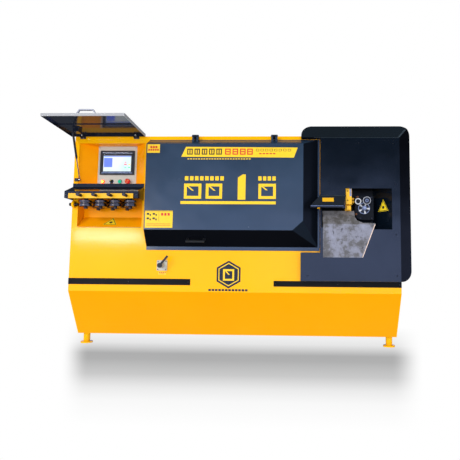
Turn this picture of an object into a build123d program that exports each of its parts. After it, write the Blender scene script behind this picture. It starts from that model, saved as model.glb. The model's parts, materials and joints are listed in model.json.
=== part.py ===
from build123d import *
import math
import os

# Rebar stirrup bending and straightening machine, millimetres.
# +X runs along the wire path towards the bending head, the operator side faces -Y, +Z is up.
# The origin is on the floor at the centre of the four anchor holes.

# ---- cabinet ----
HALF_LEN = 1250
FRONT_Y = -570
BACK_Y = 390
BASE_Z = 80
SKIRT_Z = 420
TOP_Z = 1610
SKIRT_SETBACK = 190
SHEET = 4
INNER_Y = FRONT_Y + SHEET

# ---- feet ----
FOOT_X = 1200
FOOT_Y = 330
FOOT_R = 25
PAD_R = 45
PAD_T = 12
ANCHOR_OFFSET = 34
ANCHOR_R = 7

# ---- wire path ----
WIRE_Y = -585
WIRE_Z = 1075
WIRE_SLOT_R = 15
WIRE_HOLE_R = 12
BUSH_R = 12
BUSH_BORE_R = 8
GAP = 0.05

# ---- control niche ----
NICHE_X = (-1215, -702)
NICHE_BACK_X = (-1103, -795)
NICHE_Z = (1240, 1556)
NICHE_BACK_Y = -480
BUTTON_Z = 1272
BUTTON_X = {"lamp": -1060, "selector": -990, "start": -923, "stop": -855}
BUTTON_BORE_R = 11
HMI_X = -949
HMI_Z = 1423
HMI_W = 275
HMI_H = 194
SCREEN_W = 222
SCREEN_H = 125
SCREEN_Z = 1417
HMI_CUTOUT = (256, 176)

# ---- main isolator ----
ISOLATOR = (-538, 616)
ISOLATOR_PLATE = 77
ISOLATOR_SHAFT_R = 6
ISOLATOR_LEVER = 90
ISOLATOR_ANGLE = 51

# ---- roller bay and entry straightener ----
BAY_X = (-1206, -707)
BAY_Z = (905, 1162)
BAY_BACK_Y = -465
BAY_FLOOR_BACK_Z = 990
GUARD_X = (-1250, -698)
GUARD_FRONT_Y = -695
GUARD_Z = (1108, 1159, 1214)
BAR_X = (-1214, -731)
BAR_Z = (1105, 1141)
FRONT_ROLLER_X = [-1115, -1002, -889, -776]
FRONT_ROLLER_Y = -630
BACK_ROLLER_Y = -540
ROLLER_R = 45
ROLLER_Z = (1050, 1099)
GROOVE_R = 40
PIN_R = 10
SCREW_Z = 1123
SCREW_R = 7
CARRIAGE_HALF = 30

# ---- hood ----
HOOD_X = (-663, 637)
HOOD_Z = (752, 1582)
HOOD_FACE_X = 520
HOOD_FACE_Z = (880, 1531)
HOOD_FACET_X = 441
HOOD_FACET_Z = 952
HOOD_FRONT_Y = -650
HOOD_AXIS_Y = -606
HOOD_AXIS_Z = 1602
HOOD_HINGE_X = [-303, 300]
HOOD_KNUCKLE_R = 10
HOOD_PIN_R = 5
HOOD_HANDLE_X = -278

# ---- control lid ----
LID_X = (-1272, -694)
LID_AXIS_Y = -582
LID_AXIS_Z = 1607
LID_LENGTH = 435
LID_OPEN = 92
LID_OUT = 16
LID_LIP = 16
LID_HINGE_X = [-1190, -770]
LID_PIN_R = 3.5
LID_HANDLE_X = -976
STRUT_X = -1200
STRUT_LOW = (-575, 1268)
STRUT_HIGH = (-714, 1602)
STRUT_ROD_R = 4
STRUT_TUBE_R = 8
STRUT_ROD_TOP = 181
STRUT_TUBE_LOW = 164

# ---- bending head ----
PANEL_X = (504, 1325)
PANEL_Z = (510, 1688)
PANEL_FRONT_Y = -630
PANEL_FACE_X = 1235
PANEL_FACE_Z = 1580
PANEL_CORNER_R = 80
NOTCH_X = 648
NOTCH_Z = (719, 1585)
RECESS_X = (656, 1175)
RECESS_BACK_X = 1060
RECESS_Z = (892, 1211)
RECESS_BACK_Z = 950
HEAD_PLATE_Y = -466
SPINDLE = (977, 1055)
SPINDLE_R = 30
ROLLER_B = (995, 1110)
ROLLER_A = (930, 1104)
CUT_X = 860
RAM_Y = -588
RAM_R = 12
BOLT_R = 8
BOLT_HEAD_R = 13
ROLLER_Y = (-605, -581)
LEDGE_X = (573, 838)
LEDGE_Z = (1046, 1060, 1145)

# ---- feed unit behind the hood ----
FEED_PLATE_Y = (-566, -551)
FEED_X = -100
FEED_R = 60
ARM_PIVOT = (-240, 1170)

# ---- rear service door ----
DOOR_X = (-500, 500)
DOOR_Z = (300, 1300)
DOOR_AXIS = (-518, 399)
DOOR_KNUCKLE_R = 7
DOOR_PIN_R = 3
LOUVRE_ROWS = 8
LOUVRE_PITCH = 26
GLAND = (-1000, 250)
GLAND_BORE_R = 7

NODES = {}


def keep(name, *pieces):
    """File pieces under one node name; several pieces stay separate solids."""
    NODES[name] = pieces[0] if len(pieces) == 1 else Compound(children=list(pieces))


# ---- building helpers ----
def box(x, y, z):
    size = (x[1] - x[0], y[1] - y[0], z[1] - z[0])
    centre = ((x[0] + x[1]) / 2, (y[0] + y[1]) / 2, (z[0] + z[1]) / 2)
    return Pos(*centre) * Box(*size)


def rod_x(y, z, r, x):
    return Pos((x[0] + x[1]) / 2, y, z) * Rot(0, 90, 0) * Cylinder(r, x[1] - x[0])


def rod_y(x, z, r, y):
    return Pos(x, (y[0] + y[1]) / 2, z) * Rot(90, 0, 0) * Cylinder(r, y[1] - y[0])


def rod_z(x, y, r, z):
    return Pos(x, y, (z[0] + z[1]) / 2) * Cylinder(r, z[1] - z[0])


def prism_x(points, x):
    """Extrude a (y, z) outline along X."""
    face = Plane.YZ.offset(x[0]) * make_face(Polyline(*points, close=True))
    return extrude(face, amount=x[1] - x[0])


def prism_y(points, y):
    """Extrude an (x, z) outline along Y."""
    plane = Plane(origin=(0, y[1], 0), x_dir=(1, 0, 0), z_dir=(0, -1, 0))
    return extrude(plane * make_face(Polyline(*points, close=True)), amount=y[1] - y[0])


def prism_z(points, z):
    """Extrude an (x, y) outline along Z."""
    return extrude(Plane.XY.offset(z[0]) * make_face(Polyline(*points, close=True)), amount=z[1] - z[0])


def inset(points, distances):
    """Move each edge of a convex counter-clockwise outline inwards by its own distance."""
    lines = []
    count = len(points)
    for i, distance in enumerate(distances):
        (ax, ay), (bx, by) = points[i], points[(i + 1) % count]
        length = math.hypot(bx - ax, by - ay)
        dx, dy = (bx - ax) / length, (by - ay) / length
        lines.append((ax - dy * distance, ay + dx * distance, dx, dy))
    corners = []
    for i in range(count):
        px, py, ux, uy = lines[i - 1]
        qx, qy, vx, vy = lines[i]
        step = ((qx - px) * vy - (qy - py) * vx) / (ux * vy - uy * vx)
        corners.append((px + ux * step, py + uy * step))
    return corners


# ---- cabinet ----
def side_panels():
    profile = [
        (FRONT_Y + SKIRT_SETBACK, BASE_Z),
        (BACK_Y, BASE_Z),
        (BACK_Y, TOP_Z - SHEET),
        (FRONT_Y, TOP_Z - SHEET),
        (FRONT_Y, SKIRT_Z),
    ]
    left = prism_x(profile, (-HALF_LEN, -HALF_LEN + SHEET))
    right = prism_x(profile, (HALF_LEN - SHEET, HALF_LEN))
    keep("side_panels", left, right)


def front_panel():
    inner = HALF_LEN - SHEET
    panel = box((-inner, inner), (FRONT_Y, INNER_Y), (SKIRT_Z, TOP_Z - SHEET))
    through = (FRONT_Y - 1, INNER_Y + 1)
    panel -= box(NICHE_X, through, NICHE_Z)
    panel -= box(BAY_X, through, BAY_Z)
    panel -= box((-560, 430), through, (880, 1480))
    panel -= box((NOTCH_X + 4, 1180), through, (888, 1425))
    keep("front_panel", panel)


def front_skirt():
    back = SHEET * math.hypot(SKIRT_SETBACK, SKIRT_Z - BASE_Z) / (SKIRT_Z - BASE_Z)
    low_y = FRONT_Y + SKIRT_SETBACK
    profile = [(low_y, BASE_Z), (low_y + back, BASE_Z), (FRONT_Y + back, SKIRT_Z), (FRONT_Y, SKIRT_Z)]
    keep("front_skirt", prism_x(profile, (-HALF_LEN + SHEET, HALF_LEN - SHEET)))


def top_cover():
    cover = box((-HALF_LEN, HALF_LEN), (FRONT_Y, BACK_Y), (TOP_Z - SHEET, TOP_Z))
    keep("top_cover", cover)


def trim_strips():
    strip_y = (FRONT_Y - SHEET, FRONT_Y)
    left = box((-HALF_LEN, -322), strip_y, (470, 516))
    right = box((304, HALF_LEN), strip_y, (466, PANEL_Z[0] - 2))
    keep("trim_strips", left, right)


def rear_panel():
    inner = HALF_LEN - SHEET
    panel = box((-inner, inner), (BACK_Y - SHEET, BACK_Y), (BASE_Z + SHEET, TOP_Z - SHEET))
    panel -= box(DOOR_X, (BACK_Y - 10, BACK_Y + 10), DOOR_Z)
    panel -= rod_y(*GLAND, 10, (BACK_Y - 10, BACK_Y + 10))
    hinge_x, hinge_y = DOOR_AXIS
    for z in (440.5, 1150.5):
        knuckle = rod_z(hinge_x, hinge_y, DOOR_KNUCKLE_R, (z, z + 30))
        leaf = box((hinge_x - 30, hinge_x), (BACK_Y, BACK_Y + 4), (z, z + 30))
        web = box((hinge_x - DOOR_KNUCKLE_R, hinge_x), (BACK_Y, hinge_y), (z, z + 30))
        pin = rod_z(hinge_x, hinge_y, DOOR_PIN_R, (z - 32, z + 10))
        panel += knuckle + leaf + web + pin
    keep("rear_panel", panel)


def rear_door():
    lap = 10
    door_y = (BACK_Y + 0.5, BACK_Y + 4.5)
    door = box((DOOR_X[0] - lap, DOOR_X[1] + lap), door_y, (DOOR_Z[0] - lap, DOOR_Z[1] + lap))
    for row in range(LOUVRE_ROWS):
        z = 1040 + row * LOUVRE_PITCH
        for x in (-300, 40):
            door -= box((x, x + 260), (BACK_Y - 5, BACK_Y + 10), (z, z + 9))
    hinge_x, hinge_y = DOOR_AXIS
    for z in (410, 1120):
        knuckle = rod_z(hinge_x, hinge_y, DOOR_KNUCKLE_R, (z, z + 30))
        knuckle -= rod_z(hinge_x, hinge_y, DOOR_PIN_R + GAP, (z - 1, z + 31))
        leaf = box((hinge_x + 5, hinge_x + 40), (door_y[0], door_y[1]), (z, z + 30))
        web = box((hinge_x + 5, hinge_x + 9), (door_y[0], hinge_y), (z, z + 30))
        door += knuckle + leaf + web
    door += rod_y(450, 800, 14, (BACK_Y + 4, BACK_Y + 16))
    keep("rear_door", door)


def base_frame():
    inner = HALF_LEN - SHEET
    back = BACK_Y - SHEET
    frame = box((-inner, inner), (-373, back), (BASE_Z, BASE_Z + SHEET))
    tube_z = (BASE_Z + SHEET, 140)
    for y in ((-370, -310), (back - 60, back)):
        frame += box((-inner, inner), y, tube_z)
    for x in (-inner, -430, 370, inner - 60):
        frame += box((x, x + 60), (-340, back - 30), tube_z)
    post_top = 1500
    for x in (-590, 410, 640, 1150):
        frame += box((x, x + 50), (-360, -310), (130, post_top))
        plate_y = FEED_PLATE_Y[1] if x < 600 else HEAD_PLATE_Y + 20
        for z in (855, 1440):
            frame += box((x, x + 50), (plate_y, -350), (z, z + 50))
    for x in (-inner, inner - 50):
        for y in (-360, back - 50):
            frame += box((x, x + 50), (y, y + 50), (130, post_top + 50))
        frame += box((x, x + 50), (-360, back), (post_top, post_top + 50))
    for y in (-360, back - 50):
        frame += box((-inner, inner), (y, y + 50), (post_top, post_top + 50))
    keep("base_frame", frame)


def feet():
    pieces = []
    for x in (-FOOT_X, FOOT_X):
        hole_x = x + math.copysign(ANCHOR_OFFSET, x)
        for y in (-FOOT_Y, FOOT_Y):
            foot = rod_z(x, y, PAD_R, (0, PAD_T)) + rod_z(x, y, FOOT_R, (PAD_T, BASE_Z))
            foot -= rod_z(hole_x, y, ANCHOR_R, (-1, PAD_T + 1))
            pieces.append(foot)
    keep("feet", *pieces)


def cable_gland():
    gland = rod_y(*GLAND, 20, (BACK_Y, BACK_Y + 8)) + rod_y(*GLAND, 16, (BACK_Y + 8, BACK_Y + 34))
    gland += rod_y(*GLAND, 10, (BACK_Y - 16, BACK_Y))
    gland -= rod_y(*GLAND, GLAND_BORE_R, (BACK_Y - 20, BACK_Y + 40))
    keep("cable_gland", gland)


def control_box():
    half, y, z = 300, (100, 300), (450, 1250)
    shell = box((-half, half), y, z)
    shell -= box((SHEET - half, half - SHEET), (y[0] + SHEET, y[1] + 1), (z[0] + SHEET, z[1] - SHEET))
    keep("control_box", shell)


# ---- control niche ----
def funnel_outline():
    """Plan view of the niche, counter-clockwise from its front left corner."""
    return [
        (NICHE_X[0], INNER_Y),
        (NICHE_X[1], INNER_Y),
        (NICHE_BACK_X[1], NICHE_BACK_Y),
        (NICHE_BACK_X[0], NICHE_BACK_Y),
    ]


def control_niche():
    outline = funnel_outline()
    outer = prism_z(inset(outline, [0, -SHEET, 0, -SHEET]), (NICHE_Z[0] - SHEET, NICHE_Z[1] + SHEET))
    hollow = prism_z(inset(outline, [-1, 0, -1, 0]), NICHE_Z)
    keep("control_niche", outer - hollow)


def control_plate():
    margin = SHEET
    x = (NICHE_BACK_X[0] - margin, NICHE_BACK_X[1] + margin)
    plate = box(x, (NICHE_BACK_Y, NICHE_BACK_Y + 3), (NICHE_Z[0] - margin, NICHE_Z[1] + margin))
    through = (NICHE_BACK_Y - 10, NICHE_BACK_Y + 10)
    cut_w, cut_h = HMI_CUTOUT
    plate -= box((HMI_X - cut_w / 2, HMI_X + cut_w / 2), through, (HMI_Z - cut_h / 2, HMI_Z + cut_h / 2))
    for button_x in BUTTON_X.values():
        plate -= rod_y(button_x, BUTTON_Z, BUTTON_BORE_R, through)
    keep("control_plate", plate)


def hmi():
    face_y = NICHE_BACK_Y - 8
    glass_y = (face_y + 2, face_y + 4)
    bezel_z = (HMI_Z - HMI_H / 2, HMI_Z + HMI_H / 2)
    bezel = box((HMI_X - HMI_W / 2, HMI_X + HMI_W / 2), (face_y, NICHE_BACK_Y), bezel_z)
    bezel = fillet(bezel.edges().filter_by(Axis.Y), 6)
    body_w, body_h = HMI_CUTOUT[0] - 2, HMI_CUTOUT[1] - 2
    body_z = (HMI_Z - body_h / 2, HMI_Z + body_h / 2)
    bezel += box((HMI_X - body_w / 2, HMI_X + body_w / 2), (NICHE_BACK_Y - 1, NICHE_BACK_Y + 40), body_z)
    window_x = (HMI_X - SCREEN_W / 2, HMI_X + SCREEN_W / 2)
    window_z = (SCREEN_Z - SCREEN_H / 2, SCREEN_Z + SCREEN_H / 2)
    bezel -= box(window_x, (face_y - 1, glass_y[1]), window_z)
    keep("hmi_bezel", bezel)
    keep("hmi_screen", box(window_x, glass_y, window_z))


def buttons():
    face = NICHE_BACK_Y
    back = face + 25
    stem_r = BUTTON_BORE_R - GAP
    lamp_x = BUTTON_X["lamp"]
    lamp = rod_y(lamp_x, BUTTON_Z, 15, (face - 12, face))
    lamp += rod_y(lamp_x, BUTTON_Z, BUTTON_BORE_R, (face - 2, back))
    keep("power_lamp", fillet(lamp.edges().group_by(Axis.Y)[0], 5))
    knob_x = BUTTON_X["selector"]
    knob = rod_y(knob_x, BUTTON_Z, 13.5, (face - 6, face - 0.5))
    knob += box((knob_x - 4, knob_x + 4), (face - 20, face - 5), (BUTTON_Z - 13, BUTTON_Z + 13))
    knob += rod_y(knob_x, BUTTON_Z, stem_r, (face - 2, back))
    keep("selector_knob", knob)
    start_x = BUTTON_X["start"]
    start = rod_y(start_x, BUTTON_Z, 14, (face - 10, face - 4.5))
    start += rod_y(start_x, BUTTON_Z, stem_r, (face - 5, back))
    keep("start_button", start)
    stop_x = BUTTON_X["stop"]
    mushroom = rod_y(stop_x, BUTTON_Z, 20, (face - 35, face - 20))
    stop = fillet(mushroom.edges().group_by(Axis.Y)[0], 7)
    stop += rod_y(stop_x, BUTTON_Z, stem_r, (face - 21, back))
    keep("estop_button", stop)


def isolator():
    x, z = ISOLATOR
    half = ISOLATOR_PLATE / 2
    neck_y = FRONT_Y - 52
    base = box((x - half, x + half), (FRONT_Y - 8, FRONT_Y), (z - half, z + half))
    base += rod_y(x, z, 20, (neck_y, FRONT_Y - 7))
    base -= rod_y(x, z, ISOLATOR_SHAFT_R + GAP, (neck_y - 1, FRONT_Y - 20))
    keep("isolator_base", base)
    lever = box((0, ISOLATOR_LEVER), (neck_y - 16, neck_y - 4), (-7, 7))
    lever = Pos(x, 0, z) * Rot(0, -ISOLATOR_ANGLE, 0) * lever
    handle = rod_y(x, z, 18, (neck_y - 18, neck_y - 0.5)) + lever
    handle += rod_y(x, z, ISOLATOR_SHAFT_R, (neck_y - 1, FRONT_Y - 24))
    keep("isolator_handle", handle)


# ---- roller bay and entry straightener ----
def roller_bay():
    profile = [
        (INNER_Y, BAY_Z[0]),
        (BAY_BACK_Y, BAY_FLOOR_BACK_Z),
        (BAY_BACK_Y, BAY_Z[1]),
        (INNER_Y, BAY_Z[1]),
    ]
    outer = prism_x(inset(profile, [-SHEET, -SHEET, -SHEET, 0]), (BAY_X[0] - SHEET, BAY_X[1] + SHEET))
    hollow = prism_x(inset(profile, [0, 0, 0, -1]), BAY_X)
    keep("roller_bay", outer - hollow)


def shelf_guard():
    low, nose, high = GUARD_Z
    nose_y = GUARD_FRONT_Y
    profile = [(FRONT_Y, low), (FRONT_Y, high), (nose_y, nose), (nose_y, low)]
    solid = prism_x(profile, GUARD_X)
    inside_y = nose_y + SHEET
    hollow_profile = [(FRONT_Y + 1, low - 1), (FRONT_Y + 1, high - SHEET)]
    hollow_profile += [(inside_y, nose - 2.7), (inside_y, low - 1)]
    guard = solid - prism_x(hollow_profile, (GUARD_X[0] + SHEET, GUARD_X[1] - SHEET))
    guard += box(GUARD_X, (FRONT_Y - SHEET, FRONT_Y), (high - 6, NICHE_Z[0] - 1))
    for x in FRONT_ROLLER_X:
        guard -= rod_y(x, SCREW_Z, SCREW_R + 2, (nose_y - 1, nose_y + 6))
    keep("shelf_guard", guard)


def adjust_bar():
    bar = box(BAR_X, (GUARD_FRONT_Y - 12, GUARD_FRONT_Y), BAR_Z)
    for x in FRONT_ROLLER_X:
        bar -= rod_y(x, SCREW_Z, SCREW_R + GAP, (GUARD_FRONT_Y - 20, GUARD_FRONT_Y + 5))
    keep("adjust_bar", bar)


def back_roller_xs():
    return [(a + b) / 2 for a, b in zip(FRONT_ROLLER_X, FRONT_ROLLER_X[1:])]


def roller_pin(x, y, top_z):
    """Vertical pin with a spacer collar above the roller and a bolt head below it."""
    pin = rod_z(x, y, PIN_R, (ROLLER_Z[0] - 6, top_z))
    pin += rod_z(x, y, 15, (ROLLER_Z[1] + 1, top_z))
    pin += rod_z(x, y, 14, (ROLLER_Z[0] - 14, ROLLER_Z[0] - 1))
    return pin


def entry_bed():
    bed_z = (1150, 1158)
    bed = box((BAY_X[0] + 1, BAY_X[1] - 1), (-680, BAY_BACK_Y - 1), bed_z)
    rail_y = (-665, -600)
    rail_z = (1116, 1151)
    free = CARRIAGE_HALF + 0.1
    for left, right in zip(FRONT_ROLLER_X, FRONT_ROLLER_X[1:]):
        bed += box((left + free, right - free), rail_y, rail_z)
    bed += box((FRONT_ROLLER_X[0] - free - 20, FRONT_ROLLER_X[0] - free), rail_y, rail_z)
    bed += box((FRONT_ROLLER_X[-1] + free, FRONT_ROLLER_X[-1] + free + 18), rail_y, rail_z)
    for x in back_roller_xs():
        bed += roller_pin(x, BACK_ROLLER_Y, bed_z[0] + 1)
    keep("entry_bed", bed)


def carriages():
    for number, x in enumerate(FRONT_ROLLER_X, start=1):
        block = box((x - CARRIAGE_HALF, x + CARRIAGE_HALF), (-655, -605), (1116, 1149.9))
        block += roller_pin(x, FRONT_ROLLER_Y, 1117)
        block += rod_y(x, SCREW_Z, SCREW_R, (-765, -650))
        block += rod_y(x, SCREW_Z, 11, (-732, -718))
        block += rod_y(x, SCREW_Z, 12, (-770, -754))
        keep(f"carriage_{number}", block)


def grooved_roller(x, y):
    low, high = ROLLER_Z
    mid = (low + high) / 2
    profile = [
        (PIN_R + GAP, low),
        (ROLLER_R - 3, low),
        (ROLLER_R, low + 3),
        (ROLLER_R, mid - 8),
        (GROOVE_R, mid - 3),
        (GROOVE_R, mid + 3),
        (ROLLER_R, mid + 8),
        (ROLLER_R, high - 3),
        (ROLLER_R - 3, high),
        (PIN_R + GAP, high),
    ]
    face = Plane.XZ * make_face(Polyline(*profile, close=True))
    return Pos(x, y, 0) * revolve(face, Axis.Z)


def straightening_rollers():
    for number, x in enumerate(FRONT_ROLLER_X, start=1):
        keep(f"entry_roller_{number}", grooved_roller(x, FRONT_ROLLER_Y))
    for number, x in enumerate(back_roller_xs(), start=1):
        keep(f"back_roller_{number}", grooved_roller(x, BACK_ROLLER_Y))


def inlet():
    arm_x = (-1238, -1222)
    lug_r = 27
    past_x = (arm_x[0] - 12, arm_x[1] + 12)
    arm = box(arm_x, (WIRE_Y, FRONT_Y), (WIRE_Z - lug_r, WIRE_Z + lug_r))
    arm += rod_x(WIRE_Y, WIRE_Z, lug_r, arm_x)
    arm -= box(past_x, (FRONT_Y, FRONT_Y + 20), (WIRE_Z - 40, WIRE_Z + 40))
    arm -= rod_x(WIRE_Y, WIRE_Z, BUSH_R, past_x)
    keep("inlet_bracket", arm)
    bush_x = (-1262, -1196)
    bush = rod_x(WIRE_Y, WIRE_Z, BUSH_R, bush_x) + rod_x(WIRE_Y, WIRE_Z, BUSH_R + 3, (arm_x[1], arm_x[1] + 10))
    bush -= rod_x(WIRE_Y, WIRE_Z, BUSH_BORE_R, (bush_x[0] - 8, bush_x[1] + 6))
    keep("inlet_bush", bush)


# ---- hood ----
def hood_solid(wall, back_wall):
    """Bevelled hood body; wall and back_wall are how far its faces move inwards."""
    front = HOOD_FRONT_Y
    side = [(FRONT_Y, HOOD_Z[0]), (FRONT_Y, HOOD_Z[1]), (front, HOOD_FACE_Z[1]), (front, HOOD_FACE_Z[0])]
    plan = [(HOOD_X[0], front), (HOOD_FACE_X, front), (HOOD_X[1], FRONT_Y), (HOOD_X[0], FRONT_Y)]
    body = prism_x(inset(side, [back_wall, wall, wall, wall]), (HOOD_X[0] - 20, HOOD_X[1] + 20))
    body &= prism_z(inset(plan, [wall, wall, back_wall, wall]), (HOOD_Z[0] - 20, HOOD_Z[1] + 20))
    corner_a = Vector(HOOD_FACET_X, front, HOOD_FACE_Z[0])
    corner_b = Vector(HOOD_FACE_X, front, HOOD_FACET_Z)
    corner_c = Vector(HOOD_X[1], FRONT_Y, HOOD_Z[0])
    normal = (corner_b - corner_a).cross(corner_c - corner_a).normalized()
    if normal.X < 0:
        normal = -normal
    facet = Plane(origin=corner_a - normal * wall, z_dir=normal)
    return body.split(facet, keep=Keep.BOTTOM)


def hood():
    shell = hood_solid(0, 0) - hood_solid(SHEET, -2)
    flange_y = (FRONT_Y - SHEET, FRONT_Y - 0.5)
    rim = box((HOOD_X[0], HOOD_X[1] + 8), flange_y, (HOOD_Z[0] - 20, HOOD_Z[1]))
    rim -= box((HOOD_X[0] + 16, HOOD_X[1] - 16), (-580, -560), (HOOD_Z[0] + 16, HOOD_Z[1] - 16))
    shell = (shell - box((-700, 700), (FRONT_Y - 0.5, -560), (700, 1600))) + rim
    for x in ((HOOD_X[0] - 5, HOOD_X[0] + 20), (585, HOOD_X[1] + 20)):
        shell -= box(x, (WIRE_Y - WIRE_SLOT_R, -560), (WIRE_Z - 25, WIRE_Z + 25))
    for x in HOOD_HINGE_X:
        for a, b in ((-24, -9), (9, 24)):
            knuckle_x = (x + a, x + b)
            shell += rod_x(HOOD_AXIS_Y, HOOD_AXIS_Z, HOOD_KNUCKLE_R, knuckle_x)
            shell += box(knuckle_x, (HOOD_AXIS_Y - 8, HOOD_AXIS_Y + 8), (1556, HOOD_AXIS_Z))
        shell -= rod_x(HOOD_AXIS_Y, HOOD_AXIS_Z, HOOD_PIN_R + GAP, (x - 30, x + 30))
    keep("hood", shell)


def hood_handle():
    """U pull standing square to the sloped lower facet."""
    slope = math.degrees(math.atan2(HOOD_FACE_Z[0] - HOOD_Z[0], FRONT_Y - HOOD_FRONT_Y))
    path_y = -38
    handle = box((-64.5, 64.5), (path_y - 7, path_y + 7), (-7, 7))
    for x in (-62.5, 62.5):
        handle += box((x - 7, x + 7), (path_y - 7, 0), (-7, 7))
    centre = (HOOD_HANDLE_X, (FRONT_Y + HOOD_FRONT_Y) / 2, (HOOD_Z[0] + HOOD_FACE_Z[0]) / 2)
    keep("hood_handle", Pos(*centre) * Rot(90 - slope, 0, 0) * handle)


def cover_brackets():
    pieces = []
    for x in HOOD_HINGE_X:
        fixed = box((x - 21, x + 21), (FRONT_Y - 4, FRONT_Y), (1584, 1606))
        fixed += box((x - 8, x + 8), (HOOD_AXIS_Y, FRONT_Y), (1593, 1611))
        fixed += rod_x(HOOD_AXIS_Y, HOOD_AXIS_Z, HOOD_KNUCKLE_R, (x - 8, x + 8))
        fixed += rod_x(HOOD_AXIS_Y, HOOD_AXIS_Z, HOOD_PIN_R, (x - 26, x + 26))
        pieces.append(fixed)
    for x in LID_HINGE_X:
        fixed = box((x - 22, x + 22), (FRONT_Y - 3, FRONT_Y), (1590, 1606))
        fixed += box((x - 9, x + 9), (LID_AXIS_Y, FRONT_Y), (1601, 1613))
        fixed += rod_x(LID_AXIS_Y, LID_AXIS_Z, 7, (x - 9, x + 9))
        fixed += rod_x(LID_AXIS_Y, LID_AXIS_Z, LID_PIN_R, (x - 24, x + 24))
        pieces.append(fixed)
    low_y, low_z = STRUT_LOW
    stud = box((STRUT_X - 38, STRUT_X - 12), (low_y - 6, FRONT_Y), (low_z - 12, low_z + 12))
    stud += rod_x(low_y, low_z, STRUT_ROD_R, (STRUT_X - 14, STRUT_X + 8))
    pieces.append(stud)
    keep("cover_brackets", *pieces)


# ---- control lid and its gas strut ----
def closed_point(y, z):
    """Where a point of the open lid lies when the lid is closed."""
    turn = -math.radians(LID_OPEN)
    dy, dz = y - LID_AXIS_Y, z - LID_AXIS_Z
    return (
        LID_AXIS_Y + dy * math.cos(turn) + dz * math.sin(turn),
        LID_AXIS_Z - dy * math.sin(turn) + dz * math.cos(turn),
    )


def opened(shape):
    """Turn a shape drawn in the closed position to the open rest position."""
    return shape.rotate(Axis((0, LID_AXIS_Y, LID_AXIS_Z), (-1, 0, 0)), LID_OPEN)


def control_lid():
    outer_y = LID_AXIS_Y - LID_OUT
    inner_y = outer_y + SHEET
    low_z = LID_AXIS_Z - LID_LENGTH
    high_z = LID_AXIS_Z - 8
    lid = box(LID_X, (outer_y, inner_y + LID_LIP), (low_z, high_z))
    pocket_x = (LID_X[0] + SHEET, LID_X[1] - SHEET)
    lid -= box(pocket_x, (inner_y, inner_y + 30), (low_z + SHEET, high_z - SHEET))
    rib_z = LID_AXIS_Z - LID_LENGTH / 2
    lid += box(pocket_x, (inner_y, inner_y + 5), (rib_z - 20, rib_z + 20))
    for x in LID_HINGE_X:
        for a, b in ((-22, -10), (10, 22)):
            lid += rod_x(LID_AXIS_Y, LID_AXIS_Z, 7, (x + a, x + b))
            lid += box((x + a, x + b), (outer_y, LID_AXIS_Y), (high_z - 6, LID_AXIS_Z))
        lid -= rod_x(LID_AXIS_Y, LID_AXIS_Z, LID_PIN_R + GAP, (x - 30, x + 30))
        lid -= box((x - 25, x + 25), (inner_y, inner_y + 26), (high_z - 20, high_z - 7.9))
        lid -= box((x - 9.5, x + 9.5), (inner_y, LID_AXIS_Y + 20), (high_z - 20, high_z + 20))
    pivot_y, pivot_z = closed_point(*STRUT_HIGH)
    block_x = STRUT_X + 12
    lid += box((block_x, block_x + 44), (inner_y - 1, pivot_y + 6), (pivot_z - 26, pivot_z + 26))
    lid += rod_x(pivot_y, pivot_z, STRUT_ROD_R, (STRUT_X + STRUT_TUBE_R + 0.5, block_x + 1))
    keep("control_lid", opened(lid))


def lid_handle():
    """Bow pull bent from flat bar, with sloped legs."""
    x = LID_HANDLE_X
    base_y = LID_AXIS_Y - LID_OUT
    z = LID_AXIS_Z - LID_LENGTH + 40
    half_base, half_top, height, bar = 76, 50, 42, 9
    outer = [(x - half_base, base_y), (x - half_top, base_y - height), (x + half_top, base_y - height)]
    outer.append((x + half_base, base_y))
    inner = [(x + half_base - bar - 2, base_y), (x + half_top - bar / 2, base_y - height + bar)]
    inner += [(x - half_top + bar / 2, base_y - height + bar), (x - half_base + bar + 2, base_y)]
    keep("lid_handle", opened(prism_z(outer + inner, (z - 6, z + 6))))


def gas_strut():
    dy, dz = STRUT_HIGH[0] - STRUT_LOW[0], STRUT_HIGH[1] - STRUT_LOW[1]
    length = math.hypot(dy, dz)
    lean = math.degrees(math.atan2(-dy, dz))
    place = Pos(STRUT_X, *STRUT_LOW) * Rot(lean, 0, 0)
    eye_x = (-6, 6)
    rod = rod_x(0, 0, 9, eye_x) + rod_z(0, 0, STRUT_ROD_R, (0, STRUT_ROD_TOP))
    rod -= rod_x(0, 0, STRUT_ROD_R + GAP, (-10, 10))
    keep("strut_rod", place * rod)
    tube = rod_z(0, 0, STRUT_TUBE_R, (STRUT_TUBE_LOW, length - 6)) + rod_x(0, length, STRUT_TUBE_R, eye_x)
    tube -= rod_z(0, 0, STRUT_ROD_R + GAP, (STRUT_TUBE_LOW - 5, length - 22))
    keep("strut_tube", place * tube)


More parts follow.
